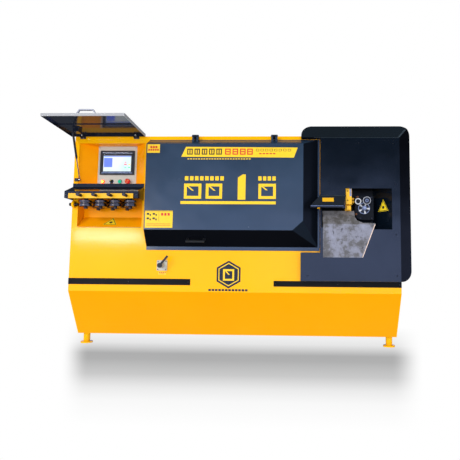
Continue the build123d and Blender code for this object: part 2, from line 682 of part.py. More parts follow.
# ---- bending head ----
def panel_solid(wall, back_wall):
    width = PANEL_X[1] - PANEL_X[0] - 2 * wall
    height = PANEL_Z[1] - PANEL_Z[0] - 2 * wall
    outline = RectangleRounded(width, height, PANEL_CORNER_R - wall)
    centre = ((PANEL_X[0] + PANEL_X[1]) / 2, FRONT_Y + 5, (PANEL_Z[0] + PANEL_Z[1]) / 2)
    body = extrude(Plane(origin=centre, x_dir=(1, 0, 0), z_dir=(0, -1, 0)) * outline, amount=80)
    square_x = (PANEL_X[0] + wall, PANEL_X[0] + PANEL_CORNER_R + 10)
    square_z = (PANEL_Z[0] + wall, PANEL_Z[0] + PANEL_CORNER_R + 10)
    body += box(square_x, (FRONT_Y - 75, FRONT_Y + 5), square_z)
    side = [(FRONT_Y, 400), (FRONT_Y, PANEL_Z[1]), (PANEL_FRONT_Y, PANEL_FACE_Z), (PANEL_FRONT_Y, 400)]
    plan = [(400, PANEL_FRONT_Y), (PANEL_FACE_X, PANEL_FRONT_Y), (PANEL_X[1], FRONT_Y), (400, FRONT_Y)]
    body &= prism_x(inset(side, [back_wall, wall, wall, wall]), (480, 1400))
    body &= prism_z(inset(plan, [wall, wall, back_wall, 0]), (480, 1720))
    return body


def head_panel():
    shell = panel_solid(0, 0) - panel_solid(SHEET, -2)
    back = panel_solid(0, 0) & box((400, 1400), (FRONT_Y - SHEET, FRONT_Y), (400, 1750))
    shell += back - box((400, HALF_LEN - SHEET), (-600, -560), (400, TOP_Z - SHEET))
    wall_y = (PANEL_FRONT_Y + 3, FRONT_Y)
    top_wall_y = (PANEL_FRONT_Y + 6, FRONT_Y)
    shelf_x = (PANEL_X[0] + 2, NOTCH_X + SHEET)
    shell += box((NOTCH_X, NOTCH_X + SHEET), wall_y, NOTCH_Z)
    shell += box(shelf_x, wall_y, (NOTCH_Z[0] - SHEET, NOTCH_Z[0]))
    shell += box(shelf_x, top_wall_y, (NOTCH_Z[1] - 1, NOTCH_Z[1] + SHEET))
    shell -= box((400, NOTCH_X), (-700, -560), NOTCH_Z)
    face_y = (PANEL_FRONT_Y - 5, PANEL_FRONT_Y + SHEET + 1)
    shell -= box((833, RECESS_X[1]), face_y, (RECESS_Z[0], 1197))
    shell -= box((NOTCH_X + SHEET, 834), face_y, (905, 1048))
    shell -= rod_x(WIRE_Y, WIRE_Z, WIRE_HOLE_R, (NOTCH_X - 5, NOTCH_X + 5))
    keep("head_panel", shell)


def recess_liner():
    front = PANEL_FRONT_Y + SHEET
    back = HEAD_PLATE_Y
    side = [(front, RECESS_Z[0]), (back, RECESS_BACK_Z), (back, RECESS_Z[1]), (front, RECESS_Z[1])]
    plan = [(RECESS_X[0], front), (RECESS_X[1], front), (RECESS_BACK_X, back), (RECESS_X[0], back)]
    outer = prism_x(inset(side, [-SHEET, 0, -SHEET, 0]), (600, 1300))
    outer &= prism_z(inset(plan, [0, -SHEET, 0, -SHEET]), (800, 1300))
    hollow = prism_x(inset(side, [0, -1, 0, -1]), (600, 1300))
    hollow &= prism_z(inset(plan, [-1, 0, -1, 0]), (800, 1300))
    liner = outer - hollow
    liner -= box((CUT_X - 36, CUT_X + 36), (-640, -460), (1200, 1220))
    liner -= rod_x(WIRE_Y, WIRE_Z, WIRE_HOLE_R, (640, 670))
    keep("recess_liner", liner)


def deflector_plate():
    thick = 6
    low_y = (PANEL_FRONT_Y - 1 - thick, PANEL_FRONT_Y - 1)
    plate = prism_y([(667, 684), (958, 684), (1051, 930), (667, 930)], low_y)
    fold = [(low_y[0], 930), (low_y[1], 930), (-562, 1036), (-562 - thick, 1036)]
    upper = prism_x(fold, (667, 1051))
    relief = [(905, 1040), (905, 990), (920, 960), (960, 940), (1060, 938), (1060, 1040)]
    upper -= prism_y(relief, (-700, -500))
    keep("deflector_plate", plate + upper)


def ledge_guard():
    """Sloped wire guard standing off the hood's right bevel on a flat arm."""
    low_z, front_z, back_z = LEDGE_Z
    left, right = LEDGE_X
    front_y = -690
    rear_y = PANEL_FRONT_Y - 0.5
    outline = [(left, front_y), (right - 22, front_y), (right, rear_y), (NOTCH_X, rear_y)]
    slope = [(front_y, front_z - SHEET), (rear_y, back_z - SHEET), (rear_y, back_z), (front_y, front_z)]
    plate = prism_x(slope, (left - 50, right + 50)) & prism_z(outline, (low_z - 50, back_z + 50))
    plate += box((left, right - 22), (front_y - SHEET, front_y), (low_z, front_z))
    gusset = [(front_y, front_z), (rear_y, back_z), (rear_y, front_z)]
    plate += prism_x(gusset, (right - 26, right - 22))
    plate -= box((661, 746), (-668, -642), (low_z - 10, back_z + 10))
    bevel = (FRONT_Y - HOOD_FRONT_Y) / (HOOD_X[1] - HOOD_FACE_X)
    arm_x = (left + 12, HOOD_X[1] - 12)
    arm = [(arm_x[0], front_y - 1), (arm_x[1], front_y - 1)]
    arm += [(x, HOOD_FRONT_Y + bevel * (x - HOOD_FACE_X)) for x in reversed(arm_x)]
    plate += prism_z(arm, (low_z, low_z + SHEET))
    keep("ledge_guard", plate)


def mounting_plates():
    feed = box((-590, 460), FEED_PLATE_Y, (850, 1500))
    feed -= rod_y(FEED_X, WIRE_Z - 5 - FEED_R, 15 + GAP, (-570, -545))
    pivot_x, pivot_z = ARM_PIVOT
    feed += rod_y(pivot_x, pivot_z, 16, (-603.5, FEED_PLATE_Y[0] + 1))
    feed += rod_y(pivot_x, pivot_z, 10, (-622, -600)) + rod_y(pivot_x, pivot_z, 14, (-628, -620))
    head = box((640, 1200), (HEAD_PLATE_Y, HEAD_PLATE_Y + 20), (855, 1490))
    head -= rod_y(*SPINDLE, 32, (-470, -440))
    keep("mounting_plates", feed, head)


def feed_unit():
    low_z = WIRE_Z - 5 - FEED_R
    high_z = WIRE_Z + 5 + FEED_R
    wheel_y = (-600, -570)
    drive = rod_y(FEED_X, low_z, FEED_R, wheel_y) + rod_y(FEED_X, low_z, 15, (-571, -553))
    drive += rod_y(FEED_X, low_z, 20, (-604, -600))
    keep("drive_wheel", drive)
    pivot_x, pivot_z = ARM_PIVOT
    arm = box((pivot_x, FEED_X + 40), (-618, -604), (high_z, pivot_z + 20))
    arm += rod_y(pivot_x, pivot_z, 26, (-618, -604)) + rod_y(FEED_X, high_z, 26, (-618, -604))
    arm -= rod_y(pivot_x, pivot_z, 10 + GAP, (-630, -600))
    arm += rod_y(FEED_X, high_z, 9, (-605, -571))
    keep("press_arm", arm)
    press = rod_y(FEED_X, high_z, FEED_R, (-601, -573)) - rod_y(FEED_X, high_z, 9 + GAP, (-610, -560))
    keep("press_wheel", press)


def drive_motors():
    feed_z = WIRE_Z - 5 - FEED_R
    feed = box((FEED_X - 65, FEED_X + 65), (FEED_PLATE_Y[1], -340), (feed_z - 65, feed_z + 65))
    x, z = SPINDLE
    bend = box((x - 70, x + 70), (HEAD_PLATE_Y + 20, -200), (z - 70, z + 70))
    keep("drive_motors", feed, bend)


def cutter():
    half = 22
    body = box((CUT_X - half, CUT_X + half), (-562, HEAD_PLATE_Y), (1030, 1300))
    body += box((CUT_X - 15, CUT_X + 16), (-606, -560), (1041, 1069))
    body += box((CUT_X - 25, CUT_X + 25), (-590, HEAD_PLATE_Y), (1222, 1300))
    body += rod_z(CUT_X, RAM_Y, 32, (1222, 1420))
    body -= rod_z(CUT_X, RAM_Y, RAM_R + GAP, (1200, 1340))
    keep("cutter_body", body)
    ram = box((CUT_X - half, CUT_X + half), (-612, -564), (1081, 1203))
    ram += rod_z(CUT_X, RAM_Y, RAM_R, (1200, 1320))
    keep("cutter_ram", ram)


def axle_bolt(x, z):
    """Shank and head holding a bending or backing roller."""
    return rod_y(x, z, BOLT_R, (-606, -578)) + rod_y(x, z, BOLT_HEAD_R, (-609, -605.5))


def bending_unit():
    x, z = SPINDLE
    outline = [(911, 967), (1049, 967), (1049, 1150), (911, 1150)]
    housing = prism_y(outline, (-572, HEAD_PLATE_Y))
    corner = housing.edges().filter_by(Axis.Y).sort_by(lambda e: e.center().X + e.center().Z)[0]
    housing = fillet(corner, 55)
    housing -= rod_y(x, z, SPINDLE_R + GAP, (-580, -495))
    ax, az = ROLLER_A
    housing += rod_y(ax, az, 14, (-580, -570))
    housing += axle_bolt(ax, az)
    keep("bend_housing", housing)
    through = (-620, -570)
    keep("backing_roller", rod_y(ax, az, 24, ROLLER_Y) - rod_y(ax, az, BOLT_R + GAP, through))
    bx, bz = ROLLER_B
    disc_y = (-580, -573)
    spindle = rod_y(x, z, SPINDLE_R, (-575, -500)) + rod_y(x, z, 43.5, disc_y) + rod_y(x, z, 15, (-606, -579))
    carrier = rod_y(bx, bz, 18, disc_y)
    span = math.hypot(bx - x, bz - z)
    lean = math.degrees(math.atan2(bz - z, bx - x))
    carrier += Pos(x, 0, z) * Rot(0, -lean, 0) * box((0, span), disc_y, (-18, 18))
    spindle += carrier + axle_bolt(bx, bz)
    keep("bend_spindle", spindle)
    keep("bend_roller", rod_y(bx, bz, 29.5, ROLLER_Y) - rod_y(bx, bz, BOLT_R + GAP, through))


SECTIONS = [
    side_panels, front_panel, front_skirt, top_cover, trim_strips, rear_panel, rear_door, base_frame, feet,
    cable_gland, control_box, control_niche, control_plate, hmi, buttons, isolator, roller_bay, shelf_guard,
    adjust_bar, entry_bed, carriages, straightening_rollers, inlet, hood, hood_handle, cover_brackets,
    control_lid, lid_handle, gas_strut, head_panel, recess_liner, deflector_plate, ledge_guard,
    mounting_plates, feed_unit, drive_motors, cutter, bending_unit,
]

for section in SECTIONS:
    section()

os.makedirs("parts", exist_ok=True)
for node, shape in NODES.items():
    export_step(shape, f"parts/{node}.step")
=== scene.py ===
import bpy
import bmesh
import json
import math
from mathutils import Matrix, Vector


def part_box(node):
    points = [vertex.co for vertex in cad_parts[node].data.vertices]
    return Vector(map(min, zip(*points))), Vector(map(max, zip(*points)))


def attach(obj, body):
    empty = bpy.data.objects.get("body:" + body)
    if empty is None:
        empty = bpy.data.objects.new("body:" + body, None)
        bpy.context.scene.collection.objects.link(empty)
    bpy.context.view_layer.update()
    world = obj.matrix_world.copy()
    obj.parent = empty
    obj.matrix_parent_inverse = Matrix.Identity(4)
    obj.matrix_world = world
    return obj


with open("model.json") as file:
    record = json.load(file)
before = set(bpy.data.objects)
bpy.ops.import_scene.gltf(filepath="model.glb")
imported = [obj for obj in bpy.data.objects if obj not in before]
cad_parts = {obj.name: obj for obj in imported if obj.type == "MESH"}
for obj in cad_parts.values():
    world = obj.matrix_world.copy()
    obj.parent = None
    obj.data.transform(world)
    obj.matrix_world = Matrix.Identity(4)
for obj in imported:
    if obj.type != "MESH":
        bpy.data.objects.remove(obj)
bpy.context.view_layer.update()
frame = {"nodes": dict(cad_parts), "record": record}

MM = 0.001
RECORD = frame["record"]
X, Z = Vector((1, 0, 0)), Vector((0, 0, 1))


# ---------------------------------------------------------------- node helpers
def new_material(name):
    """A material with an empty node tree."""
    mat = bpy.data.materials.new(name)
    mat.use_nodes = True
    mat.node_tree.nodes.clear()
    return mat, mat.node_tree


def new_surface(name):
    """A material with an empty Principled surface, and its object coordinates."""
    mat, tree = new_material(name)
    out = tree.nodes.new("ShaderNodeOutputMaterial")
    bsdf = tree.nodes.new("ShaderNodeBsdfPrincipled")
    tree.links.new(bsdf.outputs[0], out.inputs[0])
    place = tree.nodes.new("ShaderNodeTexCoord")
    return mat, tree, bsdf, place.outputs["Object"]


def noise(tree, coords, scale, detail=3.0, rough=0.5, stretch=None):
    if stretch:
        mapping = tree.nodes.new("ShaderNodeMapping")
        mapping.inputs["Scale"].default_value = stretch
        tree.links.new(coords, mapping.inputs["Vector"])
        coords = mapping.outputs[0]
    node = tree.nodes.new("ShaderNodeTexNoise")
    node.inputs["Scale"].default_value = scale
    node.inputs["Detail"].default_value = detail
    node.inputs["Roughness"].default_value = rough
    tree.links.new(coords, node.inputs["Vector"])
    return node.outputs[0]


def ramp(tree, fac, stops):
    node = tree.nodes.new("ShaderNodeValToRGB")
    elements = node.color_ramp.elements
    while len(elements) < len(stops):
        elements.new(0.5)
    for element, (position, colour) in zip(elements, stops):
        element.position = position
        element.color = (*colour, 1) if len(colour) == 3 else colour
    tree.links.new(fac, node.inputs[0])
    return node.outputs[0]


def remap(tree, fac, low, high, to_low, to_high):
    node = tree.nodes.new("ShaderNodeMapRange")
    for socket, value in zip(node.inputs[1:5], (low, high, to_low, to_high)):
        socket.default_value = value
    tree.links.new(fac, node.inputs[0])
    return node.outputs[0]


def blend_colours(tree, fac, a, b):
    node = tree.nodes.new("ShaderNodeMix")
    node.data_type = "RGBA"
    for socket, value in ((node.inputs[0], fac), (node.inputs[6], a), (node.inputs[7], b)):
        if isinstance(value, (int, float)):
            socket.default_value = value
        elif isinstance(value, (tuple, list)):
            socket.default_value = (*value, 1)
        else:
            tree.links.new(value, socket)
    return node.outputs[2]


def combine(tree, operation, *values):
    """A maths node on sockets or numbers."""
    node = tree.nodes.new("ShaderNodeMath")
    node.operation = operation
    for socket, value in zip(node.inputs, values):
        if isinstance(value, (int, float)):
            socket.default_value = value
        else:
            tree.links.new(value, socket)
    return node.outputs[0]


def add_bump(tree, bsdf, height, distance, strength=1.0):
    node = tree.nodes.new("ShaderNodeBump")
    node.inputs["Strength"].default_value = strength
    node.inputs["Distance"].default_value = distance
    tree.links.new(height, node.inputs["Height"])
    tree.links.new(node.outputs[0], bsdf.inputs["Normal"])


def axes_of(tree, coords):
    """The X, Y and Z of a vector socket."""
    split = tree.nodes.new("ShaderNodeSeparateXYZ")
    tree.links.new(coords, split.inputs[0])
    return split.outputs


def surface_normal(tree):
    return tree.nodes.new("ShaderNodeTexCoord").outputs["Normal"]


def scaled(colour, factor):
    return tuple(min(1.0, c * factor) for c in colour)


# ---------------------------------------------------------------- materials
DUST = (0.45, 0.40, 0.33)
# DEEP_SHADE and SHADE_TO_THE_RIGHT set the painted shade on faces turned down or to the right.
DEEP_SHADE = (0.002, 0.002, 0.003)
SHADE_TO_THE_RIGHT = 0.95


def enamel(name, colour, rough=0.22, coat=0.4, variation=0.06, dust=0.0, gloss=0.5, wave=0.0, shade=0.0):
    """Sprayed enamel: faint orange peel, cloudy colour, smudges, slightly wavy sheet, dust near the floor.

    Shade is painted shade: it darkens and dulls the faces that are turned down or to the right.
    """
    mat, tree, bsdf, coords = new_surface(name)
    cloud = noise(tree, coords, 1.7, 4.0, 0.6)
    base = ramp(tree, cloud, [(0.3, scaled(colour, 1 - variation)), (0.7, scaled(colour, 1 + variation))])
    if dust:
        speck = noise(tree, coords, 9.0, 6.0, 0.7)
        low = remap(tree, axes_of(tree, coords)[2], 0.08, 0.5, dust, 0.0)
        base = blend_colours(tree, combine(tree, "MULTIPLY", speck, low), base, DUST)
    # Painted shade: faces turned down or to the right are darkened towards DEEP_SHADE and lose gloss.
    if shade:
        normal = axes_of(tree, surface_normal(tree))
        facing_down = remap(tree, normal[2], -0.3, -0.04, shade, 0.0)
        facing_right = remap(tree, normal[0], 0.15, 0.45, 0.0, SHADE_TO_THE_RIGHT * shade)
        away = combine(tree, "MAXIMUM", facing_down, facing_right)
        base = blend_colours(tree, away, base, DEEP_SHADE)
        lean = remap(tree, away, 0.0, shade, gloss, gloss * 0.1)
        tree.links.new(lean, bsdf.inputs["Specular IOR Level"])
    tree.links.new(base, bsdf.inputs["Base Color"])
    smudge = noise(tree, coords, 7.0, 5.0, 0.6)
    tree.links.new(remap(tree, smudge, 0.3, 0.75, rough * 0.85, rough * 1.3), bsdf.inputs["Roughness"])
    bsdf.inputs["Specular IOR Level"].default_value = gloss
    bsdf.inputs["Coat Weight"].default_value = 0.0 if shade else coat
    bsdf.inputs["Coat Roughness"].default_value = 0.08
    peel = noise(tree, coords, 420.0, 2.0, 0.5)
    add_bump(tree, bsdf, peel, 0.00012, 0.5)
    if wave:
        fine = bsdf.inputs["Normal"].links[0].from_node
        swell = tree.nodes.new("ShaderNodeBump")
        swell.inputs["Distance"].default_value = wave
        tree.links.new(noise(tree, coords, 2.3, 2.0, 0.45), swell.inputs["Height"])
        tree.links.new(swell.outputs[0], fine.inputs["Normal"])
    return mat


def bare_plate():
    """Cut steel plate: cloudy mill scale, paler rubbed patches and short dark scuffs."""
    mat, tree, bsdf, coords = new_surface("bare_plate")
    cloud = noise(tree, coords, 12.0, 8.0, 0.7)
    mill_scale = [(0.3, (0.15, 0.14, 0.135)), (0.46, (0.23, 0.22, 0.215))]
    rubbed = [(0.53, (0.36, 0.355, 0.385)), (0.7, (0.47, 0.465, 0.52))]
    base = ramp(tree, cloud, mill_scale + rubbed)
    scuffs = noise(tree, coords, 26.0, 4.0, 0.6, (1.9, 1.0, 0.75))
    scuffed = ramp(tree, scuffs, [(0.62, (0, 0, 0)), (0.70, (0.75, 0.75, 0.75))])
    base = blend_colours(tree, scuffed, base, (0.07, 0.065, 0.07))
    tree.links.new(base, bsdf.inputs["Base Color"])
    bsdf.inputs["Metallic"].default_value = 0.55
    tree.links.new(remap(tree, cloud, 0.3, 0.7, 0.62, 0.34), bsdf.inputs["Roughness"])
    add_bump(tree, bsdf, scuffs, 0.0004, 0.6)
    return mat


def metal(name, colour, rough=0.3, grain=(1, 1, 60), grain_scale=30.0, depth=0.0001, stain=0.25):
    """Worked metal: directional tool marks, with darker stains in patches."""
    mat, tree, bsdf, coords = new_surface(name)
    marks = noise(tree, coords, grain_scale, 3.0, 0.6, grain)
    patches = noise(tree, coords, 22.0, 4.0, 0.6)
    base = ramp(tree, patches, [(0.32, scaled(colour, 1 - stain)), (0.62, colour)])
    base = blend_colours(tree, remap(tree, marks, 0.3, 0.7, 0.0, 0.35), base, scaled(colour, 0.72))
    tree.links.new(base, bsdf.inputs["Base Color"])
    bsdf.inputs["Metallic"].default_value = 1.0
    tree.links.new(remap(tree, marks, 0.3, 0.7, rough * 0.75, rough * 1.35), bsdf.inputs["Roughness"])
    add_bump(tree, bsdf, marks, depth, 0.7)
    return mat


def moulded(name, colour, rough=0.45, grain=900.0, emission=0.0):
    """Moulded plastic: fine spark-eroded grain and slight shading."""
    mat, tree, bsdf, coords = new_surface(name)
    cloud = noise(tree, coords, 25.0, 3.0, 0.5)
    base = ramp(tree, cloud, [(0.3, scaled(colour, 0.88)), (0.7, scaled(colour, 1.08))])
    tree.links.new(base, bsdf.inputs["Base Color"])
    fine = noise(tree, coords, grain, 2.0, 0.5)
    tree.links.new(remap(tree, fine, 0.3, 0.7, rough * 0.85, rough * 1.2), bsdf.inputs["Roughness"])
    add_bump(tree, bsdf, fine, 0.00008, 0.6)
    if emission:
        tree.links.new(base, bsdf.inputs["Emission Color"])
        bsdf.inputs["Emission Strength"].default_value = emission
    return mat


def printed(name, colour, rough=0.35):
    """Printed film or stencilled paint: slightly uneven ink."""
    mat, tree, bsdf, coords = new_surface(name)
    ink = noise(tree, coords, 60.0, 4.0, 0.6)
    tone = ramp(tree, ink, [(0.3, scaled(colour, 0.9)), (0.7, scaled(colour, 1.05))])
    tree.links.new(tone, bsdf.inputs["Base Color"])
    tree.links.new(remap(tree, ink, 0.3, 0.7, rough * 0.85, rough * 1.2), bsdf.inputs["Roughness"])
    return mat


def screen_surface():
    """The lit operator screen: a pale field with soft changes of brightness."""
    mat, tree, bsdf, coords = new_surface("screen_lit")
    glow = noise(tree, coords, 6.0, 2.0, 0.5)
    base = ramp(tree, glow, [(0.35, (0.66, 0.90, 0.96)), (0.65, (0.93, 0.98, 1.0))])
    bsdf.inputs["Base Color"].default_value = (0.1, 0.12, 0.13, 1)
    bsdf.inputs["Roughness"].default_value = 0.08
    tree.links.new(base, bsdf.inputs["Emission Color"])
    bsdf.inputs["Emission Strength"].default_value = 0.95
    return mat


def lid_surface():
    """Gloss black enamel with pale turned edges along the free edge and the right side."""
    mat, tree, bsdf, coords = new_surface("lid_enamel")
    low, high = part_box("control_lid")
    axes = axes_of(tree, coords)
    front = remap(tree, axes[1], low[1] + 0.0040, low[1] + 0.0048, 1.0, 0.0)
    side = remap(tree, axes[0], high[0] - 0.0035, high[0] - 0.003, 0.0, 1.0)
    cloud = noise(tree, coords, 3.0, 4.0, 0.6)
    dark = ramp(tree, cloud, [(0.3, (0.007, 0.010, 0.020)), (0.7, (0.012, 0.016, 0.032))])
    base = blend_colours(tree, combine(tree, "MAXIMUM", front, side), dark, (0.40, 0.41, 0.44))
    tree.links.new(base, bsdf.inputs["Base Color"])
    bsdf.inputs["Roughness"].default_value = 0.14
    bsdf.inputs["Specular IOR Level"].default_value = 0.3
    bsdf.inputs["Coat Weight"].default_value = 0.25
    bsdf.inputs["Coat Roughness"].default_value = 0.04
    add_bump(tree, bsdf, noise(tree, coords, 300.0, 2.0), 0.0001, 0.3)
    return mat


YELLOW = (0.985, 0.465, 0.002)
MATERIALS = {
    "cabinet_yellow": enamel("cabinet_enamel", YELLOW, 0.11, 0.10, 0.025, 0.01, 0.13, 0.004),
    "skirt_yellow": enamel("skirt_enamel", (0.98, 0.335, 0.0005), 0.3, 0.0, 0.03, 0.02, 0.03, 0.004),
    # The hood's and the head panel's enamels carry painted shade on faces turned down or to the right.
    "hood_navy": enamel("hood_enamel", (0.021, 0.042, 0.078), 0.22, 0.0, 0.16, 0.0, 0.8, 0.009, 0.97),
    "panel_black": enamel("panel_enamel", (0.0022, 0.005, 0.010), 0.15, 0.0, 0.3, 0.0, 0.72, 0.009, 0.97),
    "lid_black": enamel("gloss_black", (0.008, 0.010, 0.017), 0.13, 0.6, 0.1),
    "frame_grey": enamel("frame_primer", (0.10, 0.115, 0.13), 0.5, 0.0, 0.15),
    "plate_steel": bare_plate(),
    "machined_steel": metal("machined_steel", (0.56, 0.56, 0.58), 0.28),
    "dark_steel": metal("blackened_steel", (0.11, 0.105, 0.11), 0.42, (1, 1, 40), 24.0, 0.00015),
    "tool_yellow": enamel("tool_yellow", (0.95, 0.50, 0.008), 0.34, 0.2, 0.12),
    "chrome_trim": metal("chrome", (0.78, 0.79, 0.82), 0.10, (1, 1, 10), 40.0, 0.00002, 0.08),
    "black_plastic": moulded("black_plastic", (0.018, 0.019, 0.023), 0.4),
    "light_grey": enamel("light_grey_enamel", (0.52, 0.51, 0.46), 0.38, 0.1, 0.03),
    "screen_glass": screen_surface(),
    "red_plastic": moulded("red_plastic", (0.60, 0.010, 0.012), 0.22, 500.0),
    "green_plastic": moulded("green_plastic", (0.0, 0.50, 0.28), 0.25, 500.0, 0.15),
}
DARK_STEEL, MACHINED_STEEL = MATERIALS["dark_steel"], MATERIALS["machined_steel"]
LID = lid_surface()
INNER_YELLOW = enamel("inner_enamel", (0.99, 0.36, 0.001), 0.24, 0.0, 0.04, 0.0, 0.08)
DARK_CAST = enamel("dark_casting", (0.006, 0.007, 0.009), 0.4, 0.0, 0.2, 0.0, 0.25)
TRIM_BLACK = enamel("trim_black", (0.007, 0.007, 0.006), 0.45, 0.0, 0.2, 0.0, 0.2)
ROLLER_STEEL = metal("roller_steel", (0.24, 0.205, 0.185), 0.24, (1, 1, 30), 50.0, 0.0001, 0.4)
# Painted reflection: the lid handle gets a pale bluish enamel in place of its chrome, standing for the bright
# light it reflects.
HANDLE_PAINTED_REFLECTION = enamel("handle_painted_reflection", (0.40, 0.42, 0.52), 0.2, 0.3, 0.1)
HANDLE_STEEL = metal("handle_steel", (0.42, 0.43, 0.45), 0.35, (1, 1, 20), 60.0, 0.00005)
# Painted highlight: a pale metal for thin strips along folds and edges where light would catch them.
PAINTED_EDGE_HIGHLIGHT = metal("painted_edge_highlight", (0.42, 0.46, 0.52), 0.35, (1, 1, 1), 60.0, 0.00005, 0.2)
LAMP_LIT = moulded("lamp_lit", (1.0, 0.10, 0.02), 0.2, 400.0, 1.2)
LAMP_CORE = moulded("lamp_core", (1.0, 0.62, 0.06), 0.2, 400.0, 3.0)
FILM_YELLOW = printed("film_yellow", (0.93, 0.60, 0.02))
FILM_SIGN = printed("film_sign", (1.0, 0.72, 0.02))
FILM_PALE = printed("film_pale_yellow", (0.90, 0.70, 0.10))
# Black print, also used for painted shade: the bay sill's shadow line and the dark patches on the bending
# unit's spindle and rollers.
BLACK_INK_AND_SHADE = printed("black_ink_and_painted_shade", (0.016, 0.018, 0.024))
INK_NAVY = printed("ink_navy", (0.012, 0.016, 0.030), 0.3)
INK_RED = printed("ink_red", (0.62, 0.02, 0.02))
INK_BLUE = moulded("screen_blue", (0.10, 0.16, 0.78), 0.3, 500.0, 0.9)
SCREEN_RED = moulded("screen_red", (0.85, 0.05, 0.12), 0.3, 500.0, 0.8)
SCREEN_GREEN = moulded("screen_green", (0.05, 0.75, 0.30), 0.3, 500.0, 0.8)
SCREEN_AMBER = moulded("screen_amber", (0.95, 0.62, 0.05), 0.3, 500.0, 0.8)
SILVER_FILM = metal("silver_film", (0.80, 0.81, 0.83), 0.16, (1, 1, 1), 30.0, 0.00002, 0.15)
PALE_STEEL = enamel("pale_steel", (0.55, 0.56, 0.58), 0.4, 0.0, 0.1)
EDGE_BRIGHT = enamel("cut_edge", (0.78, 0.60, 0.50), 0.4, 0.0, 0.1)
GROUND_EDGE = metal("ground_edge", (0.90, 0.88, 0.86), 0.3, (1, 1, 1), 60.0, 0.00005, 0.1)
COPPER = metal("copper_pipe", (0.60, 0.22, 0.08), 0.3)


def dress_cad():
    """Give every CAD node the surface of its record slot, with a few finer choices."""
    special = {
        "control_lid": LID,
        "control_niche": INNER_YELLOW,
        "roller_bay": INNER_YELLOW,
        "power_lamp": LAMP_LIT,
        "bend_housing": DARK_CAST,
        "trim_strips": TRIM_BLACK,
        "mounting_plates": DARK_CAST,
        "hood_handle": HANDLE_STEEL,
        "lid_handle": HANDLE_PAINTED_REFLECTION,
    }
    for entry in RECORD["subparts"]:
        node = frame["nodes"][entry["node"]]
        mat = special.get(entry["node"], MATERIALS[entry["material_slot"]])
        if "_roller_" in entry["node"]:
            mat = ROLLER_STEEL
        node.data.materials.clear()
        node.data.materials.append(mat)


dress_cad()


# ---------------------------------------------------------------- piece helpers
def finish_piece(name, body, mesh, mat, smooth=None):
    """Link a mesh as a piece that rides on a body; smooth is an angle in degrees."""
    piece = bpy.data.objects.new(name, mesh)
    bpy.context.scene.collection.objects.link(piece)
    mesh.materials.append(mat)
    if smooth:
        mesh.shade_smooth()
        mesh.set_sharp_from_angle(angle=math.radians(smooth))
    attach(piece, body)
    return piece


def mesh_from(bm, name):
    bmesh.ops.recalc_face_normals(bm, faces=bm.faces)
    mesh = bpy.data.meshes.new(name)
    bm.to_mesh(mesh)
    bm.free()
    return mesh


SOFTEN = 0.25


def add_slab(bm, corners, thickness):
    """A thin plate on the given corners, raised along their normal, with softened upper edges."""
    points = [Vector(c) for c in corners]
    face = bm.faces.new([bm.verts.new(p) for p in points])
    face.normal_update()
    normal = face.normal.copy()
    top = bmesh.ops.extrude_face_region(bm, geom=[face])
    raised = [v for v in top["geom"] if isinstance(v, bmesh.types.BMVert)]
    bmesh.ops.translate(bm, verts=raised, vec=normal * thickness)
    centre = sum((v.co for v in raised), Vector()) / len(raised)
    for v in raised:
        inward = centre - v.co
        v.co += inward.normalized() * min(thickness * SOFTEN, inward.length * 0.2)


def slabs(name, body, shapes, thickness, mat):
    """One piece made of a thin plate on each set of corners."""
    bm = bmesh.new()
    for corners in shapes:
        add_slab(bm, corners, thickness)
    return finish_piece(name, body, mesh_from(bm, name), mat)


def facing(corners):
    """Order corners so that the shape faces the operator's side."""
    area = sum(a.x * b.z - b.x * a.z for a, b in zip(corners, corners[1:] + corners[:1]))
    return corners if area > 0 else corners[::-1]


def front_shape(points, y):
    """Corners on a plane facing the operator, from (x, z) points in millimetres."""
    return facing([Vector((px * MM, y, pz * MM)) for px, pz in points])


def front_shapes(shapes, y):
    return [front_shape(points, y) for points in shapes]


def rect(x0, x1, z0, z1):
    return [(x0, z0), (x1, z0), (x1, z1), (x0, z1)]


def dashes(start, pitch, count, width, z0, z1):
    """A row of equal rectangles along X."""
    return [rect(x, x + width, z0, z1) for x in range(start, start + pitch * count, pitch)]


SIXTHS = [math.radians(60 * i) for i in range(6)]


def tall_hexagon(cx, cz, radius):
    """Six corners, one of them at the top."""
    return [(cx + radius * math.sin(a), cz + radius * math.cos(a)) for a in SIXTHS]


def flat_hexagon(cx, cz, radius):
    """Six corners, one of them at the right."""
    return [(cx + radius * math.cos(a), cz + radius * math.sin(a)) for a in SIXTHS]


def front_extent(low, high):
    """The left, right, bottom and top of a box in millimetres."""
    return low[0] / MM, high[0] / MM, low[2] / MM, high[2] / MM


def front_centre(low, high):
    """The X and Z of a box's centre in metres."""
    return (low[0] + high[0]) / 2, (low[2] + high[2]) / 2


def basis(direction):
    return direction.to_track_quat("Z", "Y").to_matrix().to_4x4()


def revolved(bm, profile, origin, direction, sides):
    """Rings of vertices for (radius, height) points in millimetres about a direction from an origin."""
    place = Matrix.Translation(origin) @ basis(direction)
    rings = []
    for radius, height in profile:
        ring = []
        for i in range(sides):
            a = 2 * math.pi * i / sides
            point = Vector((radius * MM * math.cos(a), radius * MM * math.sin(a), height * MM))
            ring.append(bm.verts.new(place @ point))
        rings.append(ring)
    return rings


def join_rings(bm, lows, highs, sides):
    for low, high in zip(lows, highs):
        for i in range(sides):
            j = (i + 1) % sides
            bm.faces.new((low[i], low[j], high[j], high[i]))


def turned(name, body, profile, places, mat, sides=28, smooth=35):
    """One piece made of a capped turned solid at each place and direction."""
    bm = bmesh.new()
    for origin, direction in places:
        rings = revolved(bm, profile, origin, direction, sides)
        join_rings(bm, rings, rings[1:], sides)
        bm.faces.new(rings[0][::-1])
        bm.faces.new(rings[-1])
    return finish_piece(name, body, mesh_from(bm, name), mat, smooth)


RING_SIDES = 36


